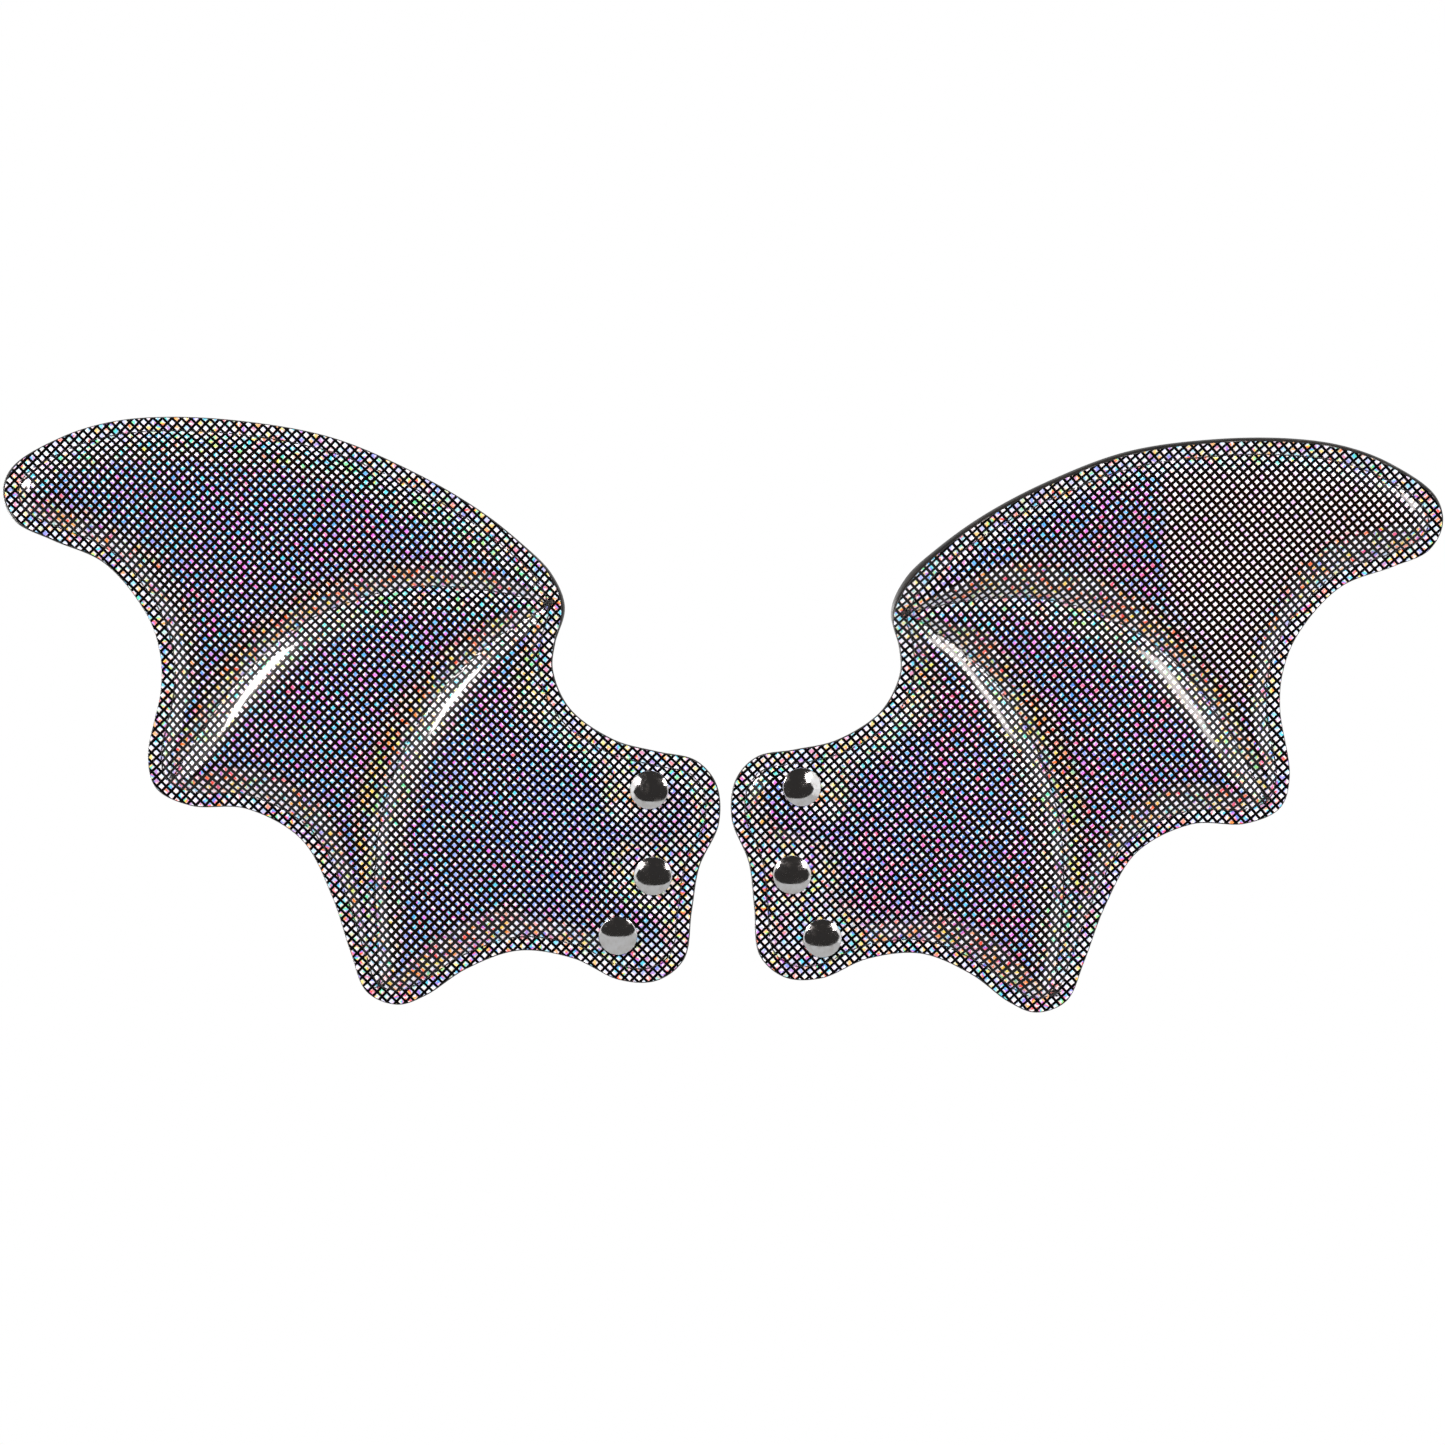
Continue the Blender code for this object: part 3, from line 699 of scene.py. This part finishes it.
def turned_piece(name, profile, place, material, seat=None, steps=72):
    """A profile of (radius, depth forward) spun about a snap's axis, from the outer face's middle."""
    closed = profile[0][0] > 1e-7
    turns = np.arange(steps) * 2 * math.pi / steps
    rings, points = [], []
    for radius, depth in profile:
        if radius < 1e-7:
            rings.append([len(points)] * steps)
            points.append((place.x, -depth, place.z))
            continue
        rings.append(list(range(len(points), len(points) + steps)))
        for t in turns:
            points.append((place.x + radius * math.cos(t), -depth, place.z + radius * math.sin(t)))
    if closed:
        rings.append(rings[0])
    faces = []
    for upper, lower in zip(rings, rings[1:]):
        for i in range(steps):
            j = (i + 1) % steps
            face = list(dict.fromkeys((upper[i], lower[i], lower[j], upper[j])))
            faces.append(tuple(face))
    points = np.array(points)
    if seat is not None:
        seat_from, seat_rise = 0.0065, 0.0012   # only what stands forward of the sheet is lifted
        lifted = smooth((-points[:, 1] - seat_from) / seat_rise)
        points[:, 1] -= lifted * seat(points)
    return add_piece(name, points, faces, [material], smooth_angle=40)


def cap_profile():
    """A thin domed shell whose rim rolls under, on a hollow post that is flared inside the socket."""
    seat = SOCKET_DEPTH + FACE_FRONT + 0.00005
    reach, slope, roll = 0.0060, math.radians(29), 0.0005
    ball = reach / math.sin(slope)
    edge = seat + roll * (1 + math.cos(slope))
    dome = [
        (ball * math.sin(t), edge + ball * (math.cos(t) - math.cos(slope)))
        for t in np.linspace(0, slope, 26)
    ]
    middle = (reach - roll * math.sin(slope), seat + roll)
    rim = arc(middle, roll, 90 - math.degrees(slope), -90, 12)
    return dome + rim[1:] + [
        (0.0050, seat), (0.0021, seat), (0.0019, seat - 0.0002), (0.0019, 0.0026),
        (0.0021, 0.00235), (0.0028, 0.00225), (0.0028, 0.00205), (0.0022, 0.0019),
        (0.0011, 0.0019), (0.0011, seat - 0.002), (0.0, seat - 0.002),
    ]


def socket_profile():
    """A pressed ring box with a rolled rim round its mouth."""
    top = SOCKET_DEPTH - 0.0002
    base = top - 0.0006
    return (
        [(0.0023, top), (0.0050, top)]
        + arc((0.0050, top - 0.0005), 0.0005, 90, 0, 5)
        + arc((0.0049, 0.0006), 0.0006, 0, -90, 7)
        + arc((0.0030, 0.0004), 0.0004, -90, -200, 7)
        + [(0.0034, 0.00062), (0.0046, 0.00065), (0.0048, 0.0009), (0.0048, base - 0.0002)]
        + [(0.0045, base), (0.0023, base)]
    )


def spring_piece(name, place, material):
    """A hairpin of round wire whose two legs grip the stud's neck."""
    leg, reach, depth = 0.0018, 0.0033, 0.0011
    path = [(-reach, -leg), (-0.0016, -leg + 0.0002), (0.0, -leg + 0.00025)]
    path += [(leg + leg * math.cos(t), leg * math.sin(t)) for t in np.linspace(-1.4, 1.4, 15)]
    path += [(0.0, leg - 0.00025), (-0.0016, leg - 0.0002), (-reach, leg)]
    path = resampled(curve_through(path, 4, False), 0.0004)
    centres = np.column_stack([place.x + path[:, 0], np.full(len(path), -depth), place.z + path[:, 1]])
    outward = np.tile((0.0, -1.0, 0.0), (len(path), 1))
    radii = np.full(len(path), 0.0003)
    radii[[0, -1]] = 0.00022
    points, faces, twist = tubes(centres[None], outward[None], radii, sides=12)
    piece = add_piece(name, points, faces, [material])
    store(piece, "twist", twist)
    return piece


def snaps(wing, chrome, wire):
    for number, place in enumerate(wing.snap_places, start=1):
        def seat(points, number=number):
            return wing.seat(number - 1, np.array([wing.flat_of(x, z) for x, _, z in points]))

        made = {
            "cap": turned_piece(f"{wing.side}_cap_{number}", cap_profile(), place, chrome, seat),
            "socket": turned_piece(f"{wing.side}_socket_{number}", socket_profile(), place, chrome),
            "spring": spring_piece(f"{wing.side}_spring_{number}", place, wire),
        }
        for kind, piece in made.items():
            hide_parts(f"{wing.side}_snap_{kind}_{number}")
            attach(piece, wing.root)


# --- materials ---

class Shader:
    """Short calls for building a node material."""

    def __init__(self, name):
        self.material = bpy.data.materials.new(name)
        self.material.use_nodes = True
        self.tree = self.material.node_tree
        self.surface = self.tree.nodes["Principled BSDF"]

    def node(self, kind, inputs=(), **settings):
        made = self.tree.nodes.new("ShaderNode" + kind)
        for key, value in settings.items():
            setattr(made, key, value)
        for key, value in dict(inputs).items():
            self.feed(made.inputs[key], value)
        return made

    def feed(self, socket, value):
        if isinstance(value, bpy.types.NodeSocket):
            self.tree.links.new(value, socket)
        elif socket.type == "RGBA":
            socket.default_value = (*value, 1.0)
        else:
            socket.default_value = value

    def math(self, operation, *values, clamp=False):
        return self.node("Math", dict(enumerate(values)), operation=operation, use_clamp=clamp).outputs[0]

    def times(self, first, second):
        return self.math("MULTIPLY", first, second)

    def plus(self, first, second, clamp=False):
        return self.math("ADD", first, second, clamp=clamp)

    def dot(self, first, second):
        return self.node("VectorMath", {0: first, 1: second}, operation="DOT_PRODUCT").outputs["Value"]

    def join(self, *values):
        return self.node("CombineXYZ", dict(enumerate(values))).outputs[0]

    def ease(self, value, low, high):
        inputs = {"Value": value, "From Min": low, "From Max": high}
        return self.node("MapRange", inputs, interpolation_type="SMOOTHSTEP").outputs["Result"]

    def mix(self, share, first, second):
        return self.node("Mix", {0: share, 6: first, 7: second}, data_type="RGBA").outputs[2]

    def ramp(self, value, stops):
        made = self.node("ValToRGB", {"Fac": value})
        while len(made.color_ramp.elements) < len(stops):
            made.color_ramp.elements.new(0.5)
        for element, (place, colour) in zip(made.color_ramp.elements, stops):
            element.position = place
            element.color = (*colour, 1.0)
        return made.outputs["Color"]

    def within(self, vector, place):
        """One inside a region, falling to nothing outside it; an empty region is nowhere."""
        share = 1.0 if place else 0.0
        for direction, start, end in place:
            share = self.times(self.ease(self.dot(vector, (*direction, 0.0)), start, end), share)
        return share

    def attribute(self, name):
        return self.node("Attribute", attribute_name=name, attribute_type="GEOMETRY").outputs["Vector"]

    def parts(self, vector):
        return self.node("SeparateXYZ", {0: vector}).outputs

    def noise(self, vector, scale, detail=3.0, roughness=0.5):
        inputs = {"Vector": vector, "Scale": scale, "Detail": detail, "Roughness": roughness}
        return self.node("TexNoise", inputs).outputs["Fac"]

    def blotches(self, vector, scale, detail=2.0):
        """Noise with a value of its own in each of three channels."""
        return self.node("TexNoise", {"Vector": vector, "Scale": scale, "Detail": detail}).outputs["Color"]

    def place(self):
        return self.node("TexCoord").outputs["Object"]

    def bump(self, height, distance, strength=1.0, normal=None):
        made = self.node("Bump", {"Strength": strength, "Distance": distance, "Height": height})
        if normal is not None:
            self.feed(made.inputs["Normal"], normal)
        return made.outputs["Normal"]

    def set(self, **values):
        for name, value in values.items():
            self.feed(self.surface.inputs[name.replace("_", " ")], value)


def grey(value):
    return (value, value, value)


def film_material(name, warmth, painted_sheen_place, blue_place):
    """Holographic film under a printed black lattice. Each cell has its own colour, and painted light shifts
    it: rainbow and white cells on slopes by which way they lean, paler cells where the film lies low, a warm
    and a cool side in each cell, a painted sheen over a given region, and painted shade darkening the ink
    where the film lies low.

    The colours stay the same from every side. A place is a list of (direction, start, end) in the unrolled
    film, and holds where all of them do.
    """
    s = Shader(name)
    laid = s.attribute("print_place")
    lean_u, lean_v, puff = s.parts(s.attribute("lean"))[:3]
    flange = s.ease(puff, 0.55, 0.02)
    counts, lines, across = [], [], []
    for angle, pitch in LATTICE:
        direction = (math.cos(angle) / pitch, math.sin(angle) / pitch, 0.0)
        counts.append(s.dot(laid, direction))
        across.append(s.math("FRACT", counts[-1]))
        off = s.times(s.math("ABSOLUTE", s.math("SUBTRACT", across[-1], 0.5)), 2.0)
        off = s.math("SUBTRACT", off, s.times(flange, 0.07))
        lines.append(s.ease(off, 1 - LINE_SHARE - LINE_BLUR, 1 - LINE_SHARE + LINE_BLUR))
    line = s.math("MAXIMUM", lines[0], lines[1])
    cell = s.join(s.math("FLOOR", counts[0]), s.math("FLOOR", counts[1]))
    chance = s.parts(s.node("TexWhiteNoise", {"Vector": cell}, noise_dimensions="3D").outputs["Color"])
    spots = s.parts(s.blotches(s.join(*counts), 1.9, 0.0))

    steep = s.math("SQRT", s.plus(s.times(lean_u, lean_u), s.times(lean_v, lean_v)))
    toward_u = s.math("DIVIDE", lean_u, s.math("MAXIMUM", steep, 0.05))
    toward_v = s.math("DIVIDE", lean_v, s.math("MAXIMUM", steep, 0.05))

    drift = s.times(s.math("SUBTRACT", s.noise(laid, 30.0, 2.0), 0.5), 0.9)
    blue_share = s.within(laid, blue_place)
    bluer = s.times(blue_share, -0.10)
    pick = s.plus(s.plus(chance[0], drift), s.plus(bluer, warmth), clamp=True)
    calm = s.ramp(pick, (
        (0.0, (0.10, 0.62, 0.80)), (0.16, (0.12, 0.44, 0.95)), (0.42, (0.16, 0.38, 0.92)),
        (0.66, (0.34, 0.34, 0.90)), (0.80, (0.62, 0.28, 0.90)), (0.93, (0.92, 0.22, 0.86)),
        (1.0, (1.0, 0.16, 0.34)),
    ))
    accent = s.ramp(chance[1], (
        (0.0, (0.98, 0.14, 0.72)), (0.3, (0.90, 0.18, 0.92)), (0.45, (0.98, 0.10, 0.12)),
        (0.6, (0.10, 0.80, 0.90)), (0.8, (0.08, 0.22, 0.98)), (1.0, (0.30, 0.85, 0.45)),
    ))
    accented = s.ease(s.plus(spots[1], s.times(blue_share, 0.06)), 0.56, 0.65)
    calm = s.mix(s.times(accented, 0.85), calm, accent)
    struck = s.times(blue_share, s.math("GREATER_THAN", chance[2], 0.62))
    calm = s.mix(struck, calm, (0.30, 0.42, 1.0))
    # A painted sheen: near white cells over the right wing's tip, where it catches the lamps.
    painted_sheen = s.ramp(chance[1], (
        (0.0, (1.0, 0.90, 0.93)), (0.70, (1.0, 0.86, 0.92)), (0.82, (0.95, 0.55, 0.92)),
        (0.92, (0.70, 0.66, 0.98)), (1.0, (1.0, 0.70, 0.66)),
    ))
    calm = s.mix(s.within(laid, painted_sheen_place), calm, painted_sheen)

    # Painted light on the slopes: each cell's rainbow colour shifts with which way and how steeply the film
    # leans, and white painted highlight cells (plain) take more of the flanks that lean outboard, rainbow
    # ones more of those that lean inboard.
    order = s.plus(s.times(toward_v, 0.22), s.times(chance[1], 0.34))
    order = s.plus(order, s.times(steep, 0.30))
    painted_rainbow = s.ramp(s.math("FRACT", order), RAINBOW)
    # Blotches of rainbow painted light, laid below on the low film and on the flanks.
    patch = s.parts(s.blotches(laid, 190.0, 1.0))
    painted_rainbow_patch_colour = s.ramp(s.math("FRACT", s.times(patch[1], 4.0)), RAINBOW)
    painted_rainbow_share = s.math("SUBTRACT", 0.44, s.times(toward_u, 0.30))
    plain = s.math("GREATER_THAN", chance[2], painted_rainbow_share)
    painted_flank_light = s.mix(plain, painted_rainbow, (0.88, 0.89, 0.95))
    # Painted light on the film that lies low beside the seams and at the edge: mostly white and pale blue
    # highlight cells, with a few rainbow ones.
    rim = s.ramp(s.math("FRACT", s.plus(chance[0], chance[2])), (
        (0.0, (0.95, 0.95, 0.98)), (0.42, (0.84, 0.88, 1.0)), (0.55, (0.10, 0.70, 0.98)),
        (0.66, (0.96, 0.82, 0.26)), (0.78, (1.0, 0.28, 0.20)), (0.88, (0.30, 0.34, 0.95)),
        (1.0, (0.95, 0.95, 0.98)),
    ))
    colour = s.mix(flange, calm, rim)
    # Where the padding slopes, this painted light takes the place of the cells' own colours.
    on_flank = s.times(s.ease(steep, 0.16, 0.36), s.ease(puff, 0.02, 0.20))
    colour = s.mix(on_flank, colour, painted_flank_light)
    # The rainbow painted light comes in blotches, only on the low film and the flanks.
    painted_rainbow_patch_share = s.math("MAXIMUM", s.times(flange, 0.95), s.times(on_flank, 0.75))
    painted_rainbow_patch_share = s.times(painted_rainbow_patch_share, s.ease(patch[0], 0.51, 0.58))
    colour = s.mix(painted_rainbow_patch_share, colour, painted_rainbow_patch_colour)
    colour = s.mix(s.times(s.ease(spots[0], 0.48, 0.60), 0.80), colour, (0.93, 0.92, 0.97))
    # Painted light in every cell: one side tinted warm and the opposite side cool, as the lamps catch its
    # embossed facets.
    warm = s.times(s.ease(across[0], 0.40, 0.28), 0.30)
    cold = s.times(s.ease(across[1], 0.60, 0.72), 0.30)
    colour = s.mix(warm, colour, s.mix(chance[1], (1.0, 0.40, 0.10), (0.98, 0.20, 0.50)))
    colour = s.mix(cold, colour, s.mix(chance[2], (0.05, 0.78, 0.85), (0.14, 0.28, 1.0)))
    # The lattice ink: brown on the puffed panels, near black where the film lies low at the seams and edge;
    # that darkening is painted shade.
    ink_and_painted_shade = s.mix(s.ease(puff, 0.3, 0.9), (0.0006, 0.0005, 0.0007), (0.0033, 0.0013, 0.0001))
    colour = s.mix(line, colour, ink_and_painted_shade)

    s.set(
        Base_Color=colour, Metallic=s.times(s.math("SUBTRACT", 1.0, line), 0.12),
        Roughness=s.plus(0.30, s.times(chance[1], 0.12)), Specular_IOR_Level=0.1,
        Normal=s.bump(s.plus(s.noise(laid, 900.0, 2.0), s.times(line, 0.35)), 0.00003),
        Coat_Weight=0.7, Coat_Roughness=0.08, Coat_Normal=s.bump(s.noise(laid, 120.0, 2.0), 0.00002),
    )
    return s.material


def film_edge_material():
    """The cut edge of the film's woven backing, mostly taken over by the black edge paint."""
    s = Shader("film_edge")
    place = s.place()
    worn = s.ease(s.noise(place, 160.0, 4.0), 0.58, 0.70)
    colour = s.mix(worn, (0.012, 0.011, 0.011), (0.30, 0.29, 0.28))
    s.set(Base_Color=colour, Roughness=0.6, Normal=s.bump(s.noise(place, 2500.0), 0.00006))
    return s.material


def foam_material():
    """Black foam whose cut edge is sealed with black edge paint, slightly uneven and rubbed."""
    s = Shader("foam_and_edge_paint")
    place = s.place()
    pores = s.node("TexVoronoi", {"Vector": place, "Scale": 1600.0}).outputs["Distance"]
    waves = s.noise(place, 220.0, 3.0)
    colour = s.ramp(s.noise(place, 90.0, 4.0), ((0.3, grey(0.006)), (0.7, (0.020, 0.016, 0.013))))
    rough = s.plus(0.38, s.times(waves, 0.3))
    normal = s.bump(pores, 0.00006, 0.6, s.bump(waves, 0.00025))
    s.set(Base_Color=colour, Roughness=rough, Normal=normal, Coat_Weight=0.15, Coat_Roughness=0.3)
    return s.material


def lining_material():
    """Black leatherette with soft folds and rubbed spots.

    Its pebbles are warped so strongly that they are too fine to see: the warp is in metres, not millimetres.
    """
    s = Shader("lining_leatherette")
    place = s.place()
    warp = s.blotches(place, 500.0)
    bent = s.node("VectorMath", {0: warp, 1: warp, 2: place}, operation="MULTIPLY_ADD").outputs[0]
    pebble = s.node("TexVoronoi", {"Vector": bent, "Scale": 1000.0}, feature="DISTANCE_TO_EDGE")
    grain = s.ease(pebble.outputs["Distance"], 0.0, 0.28)
    folds = s.noise(place, 140.0, 4.0)
    worn = s.ease(s.noise(place, 28.0, 5.0), 0.45, 0.75)
    colour = s.mix(grain, (0.004, 0.004, 0.004), (0.017, 0.016, 0.017))
    colour = s.mix(s.times(worn, 0.4), colour, (0.032, 0.030, 0.031))
    rough = s.plus(0.42, s.times(worn, 0.18))
    normal = s.bump(grain, 0.00012, 0.8, s.bump(folds, 0.0003, 0.5))
    s.set(Base_Color=colour, Roughness=rough, Normal=normal, Sheen_Weight=0.05)
    return s.material


def thread_material():
    """Twisted black polyester: the plies run round the thread as they run along it, darker in the grooves
    between them: painted shade.
    """
    s = Shader("thread")
    along, cosine, sine = s.parts(s.attribute("twist"))[:3]
    angle = s.math("ARCTAN2", sine, cosine)
    wind = s.math("SINE", s.plus(s.times(along, 9000.0), s.times(angle, 2.0)))
    # Darker in the grooves between the plies than on their crests: painted shade.
    colour = s.mix(s.ease(wind, -0.6, 0.8), (0.004, 0.004, 0.004), (0.026, 0.024, 0.024))
    fuzz = s.noise(s.place(), 9000.0)
    normal = s.bump(s.plus(wind, fuzz), 0.00004)
    s.set(Base_Color=colour, Roughness=0.55, Normal=normal, Sheen_Weight=0.25, Sheen_Roughness=0.4)
    return s.material


def chrome_material():
    """Bright plating with finger smears, dust specks and hair-fine scratches."""
    s = Shader("snap_chrome")
    place = s.place()
    smear = s.noise(place, 420.0, 5.0, 0.62)
    specks = s.ease(s.noise(place, 3200.0, 2.0), 0.70, 0.76)
    stretched = s.node("Mapping", {"Vector": place, "Scale": (9000.0, 9000.0, 500.0)}).outputs[0]
    scratch = s.noise(stretched, 1.0, 2.0)
    rough = s.plus(s.times(s.ease(smear, 0.40, 0.75), 0.16), 0.06)
    rough = s.plus(rough, s.times(specks, 0.2))
    colour = s.mix(s.ease(smear, 0.35, 0.8), (0.88, 0.88, 0.89), (0.70, 0.67, 0.64))
    colour = s.mix(s.times(specks, 0.4), colour, (0.35, 0.33, 0.30))
    normal = s.bump(scratch, 0.000004, 0.5, s.bump(smear, 0.00002, 0.5))
    s.set(Base_Color=colour, Metallic=1.0, Roughness=rough, Normal=normal)
    return s.material


def wire_material():
    """Drawn spring wire, streaked along its length."""
    s = Shader("spring_wire")
    along, cosine, sine = s.parts(s.attribute("twist"))[:3]
    streak = s.noise(s.join(s.times(along, 200.0), s.times(cosine, 6.0), s.times(sine, 6.0)), 4.0, 4.0)
    colour = s.ramp(streak, ((0.3, (0.30, 0.29, 0.27)), (0.7, (0.58, 0.57, 0.54))))
    rough = s.plus(0.2, s.times(streak, 0.2))
    s.set(Base_Color=colour, Metallic=1.0, Roughness=rough, Normal=s.bump(streak, 0.00001))
    return s.material


def board_material():
    """The hidden board and patch: pressed black fibre with a faint weave."""
    s = Shader("stiff_board")
    place = s.place()
    fibres = s.noise(s.node("Mapping", {"Vector": place, "Scale": (1.0, 1.0, 3.0)}).outputs[0], 1200.0, 5.0)
    weave = s.node("TexWave", {"Vector": place, "Scale": 400.0, "Distortion": 2.0}).outputs["Fac"]
    colour = s.ramp(fibres, ((0.3, grey(0.025)), (0.7, grey(0.07))))
    normal = s.bump(s.plus(fibres, s.times(weave, 0.5)), 0.00008)
    s.set(Base_Color=colour, Roughness=0.7, Normal=normal)
    return s.material


# --- stage ---

def camera():
    """Straight on, with the whole pair filling the frame's width."""
    data = bpy.data.cameras.new("camera")
    made = linked("camera", data)
    data.lens, data.sensor_width = 135, 36
    wide = 0.4679       # width of the view at the wings
    made.location = (-0.0007, -wide * data.lens / data.sensor_width - 0.008, 0.0491)
    made.rotation_euler = (math.pi / 2, 0, 0)
    bpy.context.scene.camera = made


def area_light(name, place, target, size, power, colour, mirrored=True):
    """A softbox; one that is not mirrored brightens without showing in shiny surfaces."""
    data = bpy.data.lights.new(name, "AREA")
    data.shape = "RECTANGLE"
    data.size, data.size_y = size
    data.energy = power
    data.color = colour
    made = linked(name, data)
    made.visible_glossy = mirrored
    made.location = place
    made.rotation_euler = (Vector(target) - Vector(place)).to_track_quat("-Z", "Y").to_euler()


def glowing(name, points, glow):
    """A flat surface of the studio: it shines evenly, takes no light, and shows only as a reflection."""
    s = Shader(name)
    s.set(Base_Color=grey(0.0), Roughness=1.0, Specular_IOR_Level=0.0)
    s.set(Emission_Color=grey(1.0), Emission_Strength=glow)
    piece = add_piece(name, points, [tuple(range(len(points)))], [s.material])
    piece.visible_camera = False


def stage():
    """A white wall, a grey table that ends in front, white cards at both sides, and softboxes."""
    floor, level, reach, wide = -0.40, 0.0, 1.2, 4
    wall, table_back, table_front = 2.8, 0.6, -0.98
    corners = ((-wide, floor), (wide, floor), (wide, 3.6), (-wide, 3.6))
    glowing("wall", [(x, wall, z) for x, z in corners], 1.0)
    corners = ((-wide, table_back), (wide, table_back), (wide, wall), (-wide, wall))
    glowing("ground", [(x, y, floor) for x, y in corners], 1.0)
    corners = (
        (-reach, table_front), (-0.45, -0.70), (0.45, -0.70), (reach, table_front),
        (reach, table_back), (-reach, table_back),
    )
    glowing("table", [(x, y, floor) for x, y in corners], 0.5)
    low = ((table_front, floor), (-0.76, level), (table_back, level), (table_back, floor))
    high = ((-0.76, level), (-1.60, 1.35), (0.1, 1.35), (0.1, level))
    for side, x in (("left", -reach), ("right", reach)):
        glowing(side + "_low_card", [(x, y, z) for y, z in low], 0.8)
        glowing(side + "_high_card", [(x, y, z) for y, z in high], 0.95)
    warm, white, middle = (1.0, 0.93, 0.91), grey(1.0), (0, 0, 0)
    area_light("left_softbox", (-1.14, -1.06, 0.83), (-0.15, 0, 0.06), (0.22, 0.48), 24, warm)
    area_light("right_softbox", (1.14, -1.06, 0.83), (0.15, 0, 0.06), (0.36, 0.60), 13, warm)
    area_light("back_softbox", (-1.1, 1.2, 0.0), middle, (0.5, 0.8), 14, white)
    area_light("fill", (0.7, -1.7, 0.5), middle, (1.2, 0.8), 30, white, mirrored=False)
    world = bpy.data.worlds.new("studio")
    world.use_nodes = True
    tree = world.node_tree
    ground = tree.nodes["Background"]
    ground.inputs["Color"].default_value = (0.030, 0.028, 0.027, 1.0)
    seen = tree.nodes.new("ShaderNodeBackground")
    seen.inputs["Color"].default_value = (1.0, 1.0, 1.0, 1.0)
    path = tree.nodes.new("ShaderNodeLightPath")
    mixed = tree.nodes.new("ShaderNodeMixShader")
    tree.links.new(path.outputs["Is Camera Ray"], mixed.inputs[0])
    tree.links.new(ground.outputs[0], mixed.inputs[1])
    tree.links.new(seen.outputs[0], mixed.inputs[2])
    tree.links.new(mixed.outputs[0], tree.nodes["World Output"].inputs["Surface"])
    bpy.context.scene.world = world
    bpy.context.scene.view_settings.view_transform = "Standard"


# --- everything ---

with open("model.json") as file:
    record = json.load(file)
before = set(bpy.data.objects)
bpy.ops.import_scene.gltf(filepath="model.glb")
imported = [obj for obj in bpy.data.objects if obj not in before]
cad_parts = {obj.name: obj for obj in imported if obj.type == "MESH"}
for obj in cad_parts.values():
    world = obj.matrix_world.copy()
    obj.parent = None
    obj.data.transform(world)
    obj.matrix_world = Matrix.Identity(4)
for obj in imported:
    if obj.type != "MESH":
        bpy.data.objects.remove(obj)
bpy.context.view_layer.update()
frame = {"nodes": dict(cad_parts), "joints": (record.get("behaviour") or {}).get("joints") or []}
camera()
stage()

left = Wing(
    "left", -1, np.array((1.0, 1.0)), 0.0, (0.0, 0.0), tip_and_wrist_curl,
    cap_leans=((-0.08, 0.05), (-0.03, 0.0), (0.02, -0.22)),
)
right = Wing(
    "right", 1, np.array((RIGHT_WIDTH, RIGHT_HEIGHT)), RIGHT_TURN, RIGHT_SHIFT, leading_edge_curl,
    cap_leans=((0.20, 0.05), (0.01, 0.0), (0.02, -0.02)),
)
# Regions of the unrolled film, in metres: a painted sheen on the tip of the right wing, and the bluer lower
# left panel.
PAINTED_SHEEN = [((1.0, 0.10), 0.146, 0.151), ((0.77, 0.64), 0.163, 0.172)]
BLUE = [((-1.0, 0.0), -0.112, -0.095), ((0.0, -1.0), -0.060, -0.040), ((1.0, 0.0), 0.028, 0.045)]
edge_finish, foam, leather = film_edge_material(), foam_material(), lining_material()
thread, chrome, wire, board = thread_material(), chrome_material(), wire_material(), board_material()
for wing, warmth, painted_sheen_place, blue_place in ((left, -0.05, [], BLUE), (right, 0.04, PAINTED_SHEEN, [])):
    seams = needle_holes(wing)
    face = film_material(wing.side + "_film", warmth, painted_sheen_place, blue_place)
    film(wing, seams, [face, edge_finish])
    core(wing, foam)
    lining(wing, seams, leather)
    stitches(wing, seams, thread)
    back_tacks(wing, thread)
    snaps(wing, chrome, wire)
    for hidden in ("stiffener", "snap_patch"):
        node = frame["nodes"][f"{wing.side}_{hidden}"]
        node.data.materials.clear()
        node.data.materials.append(board)
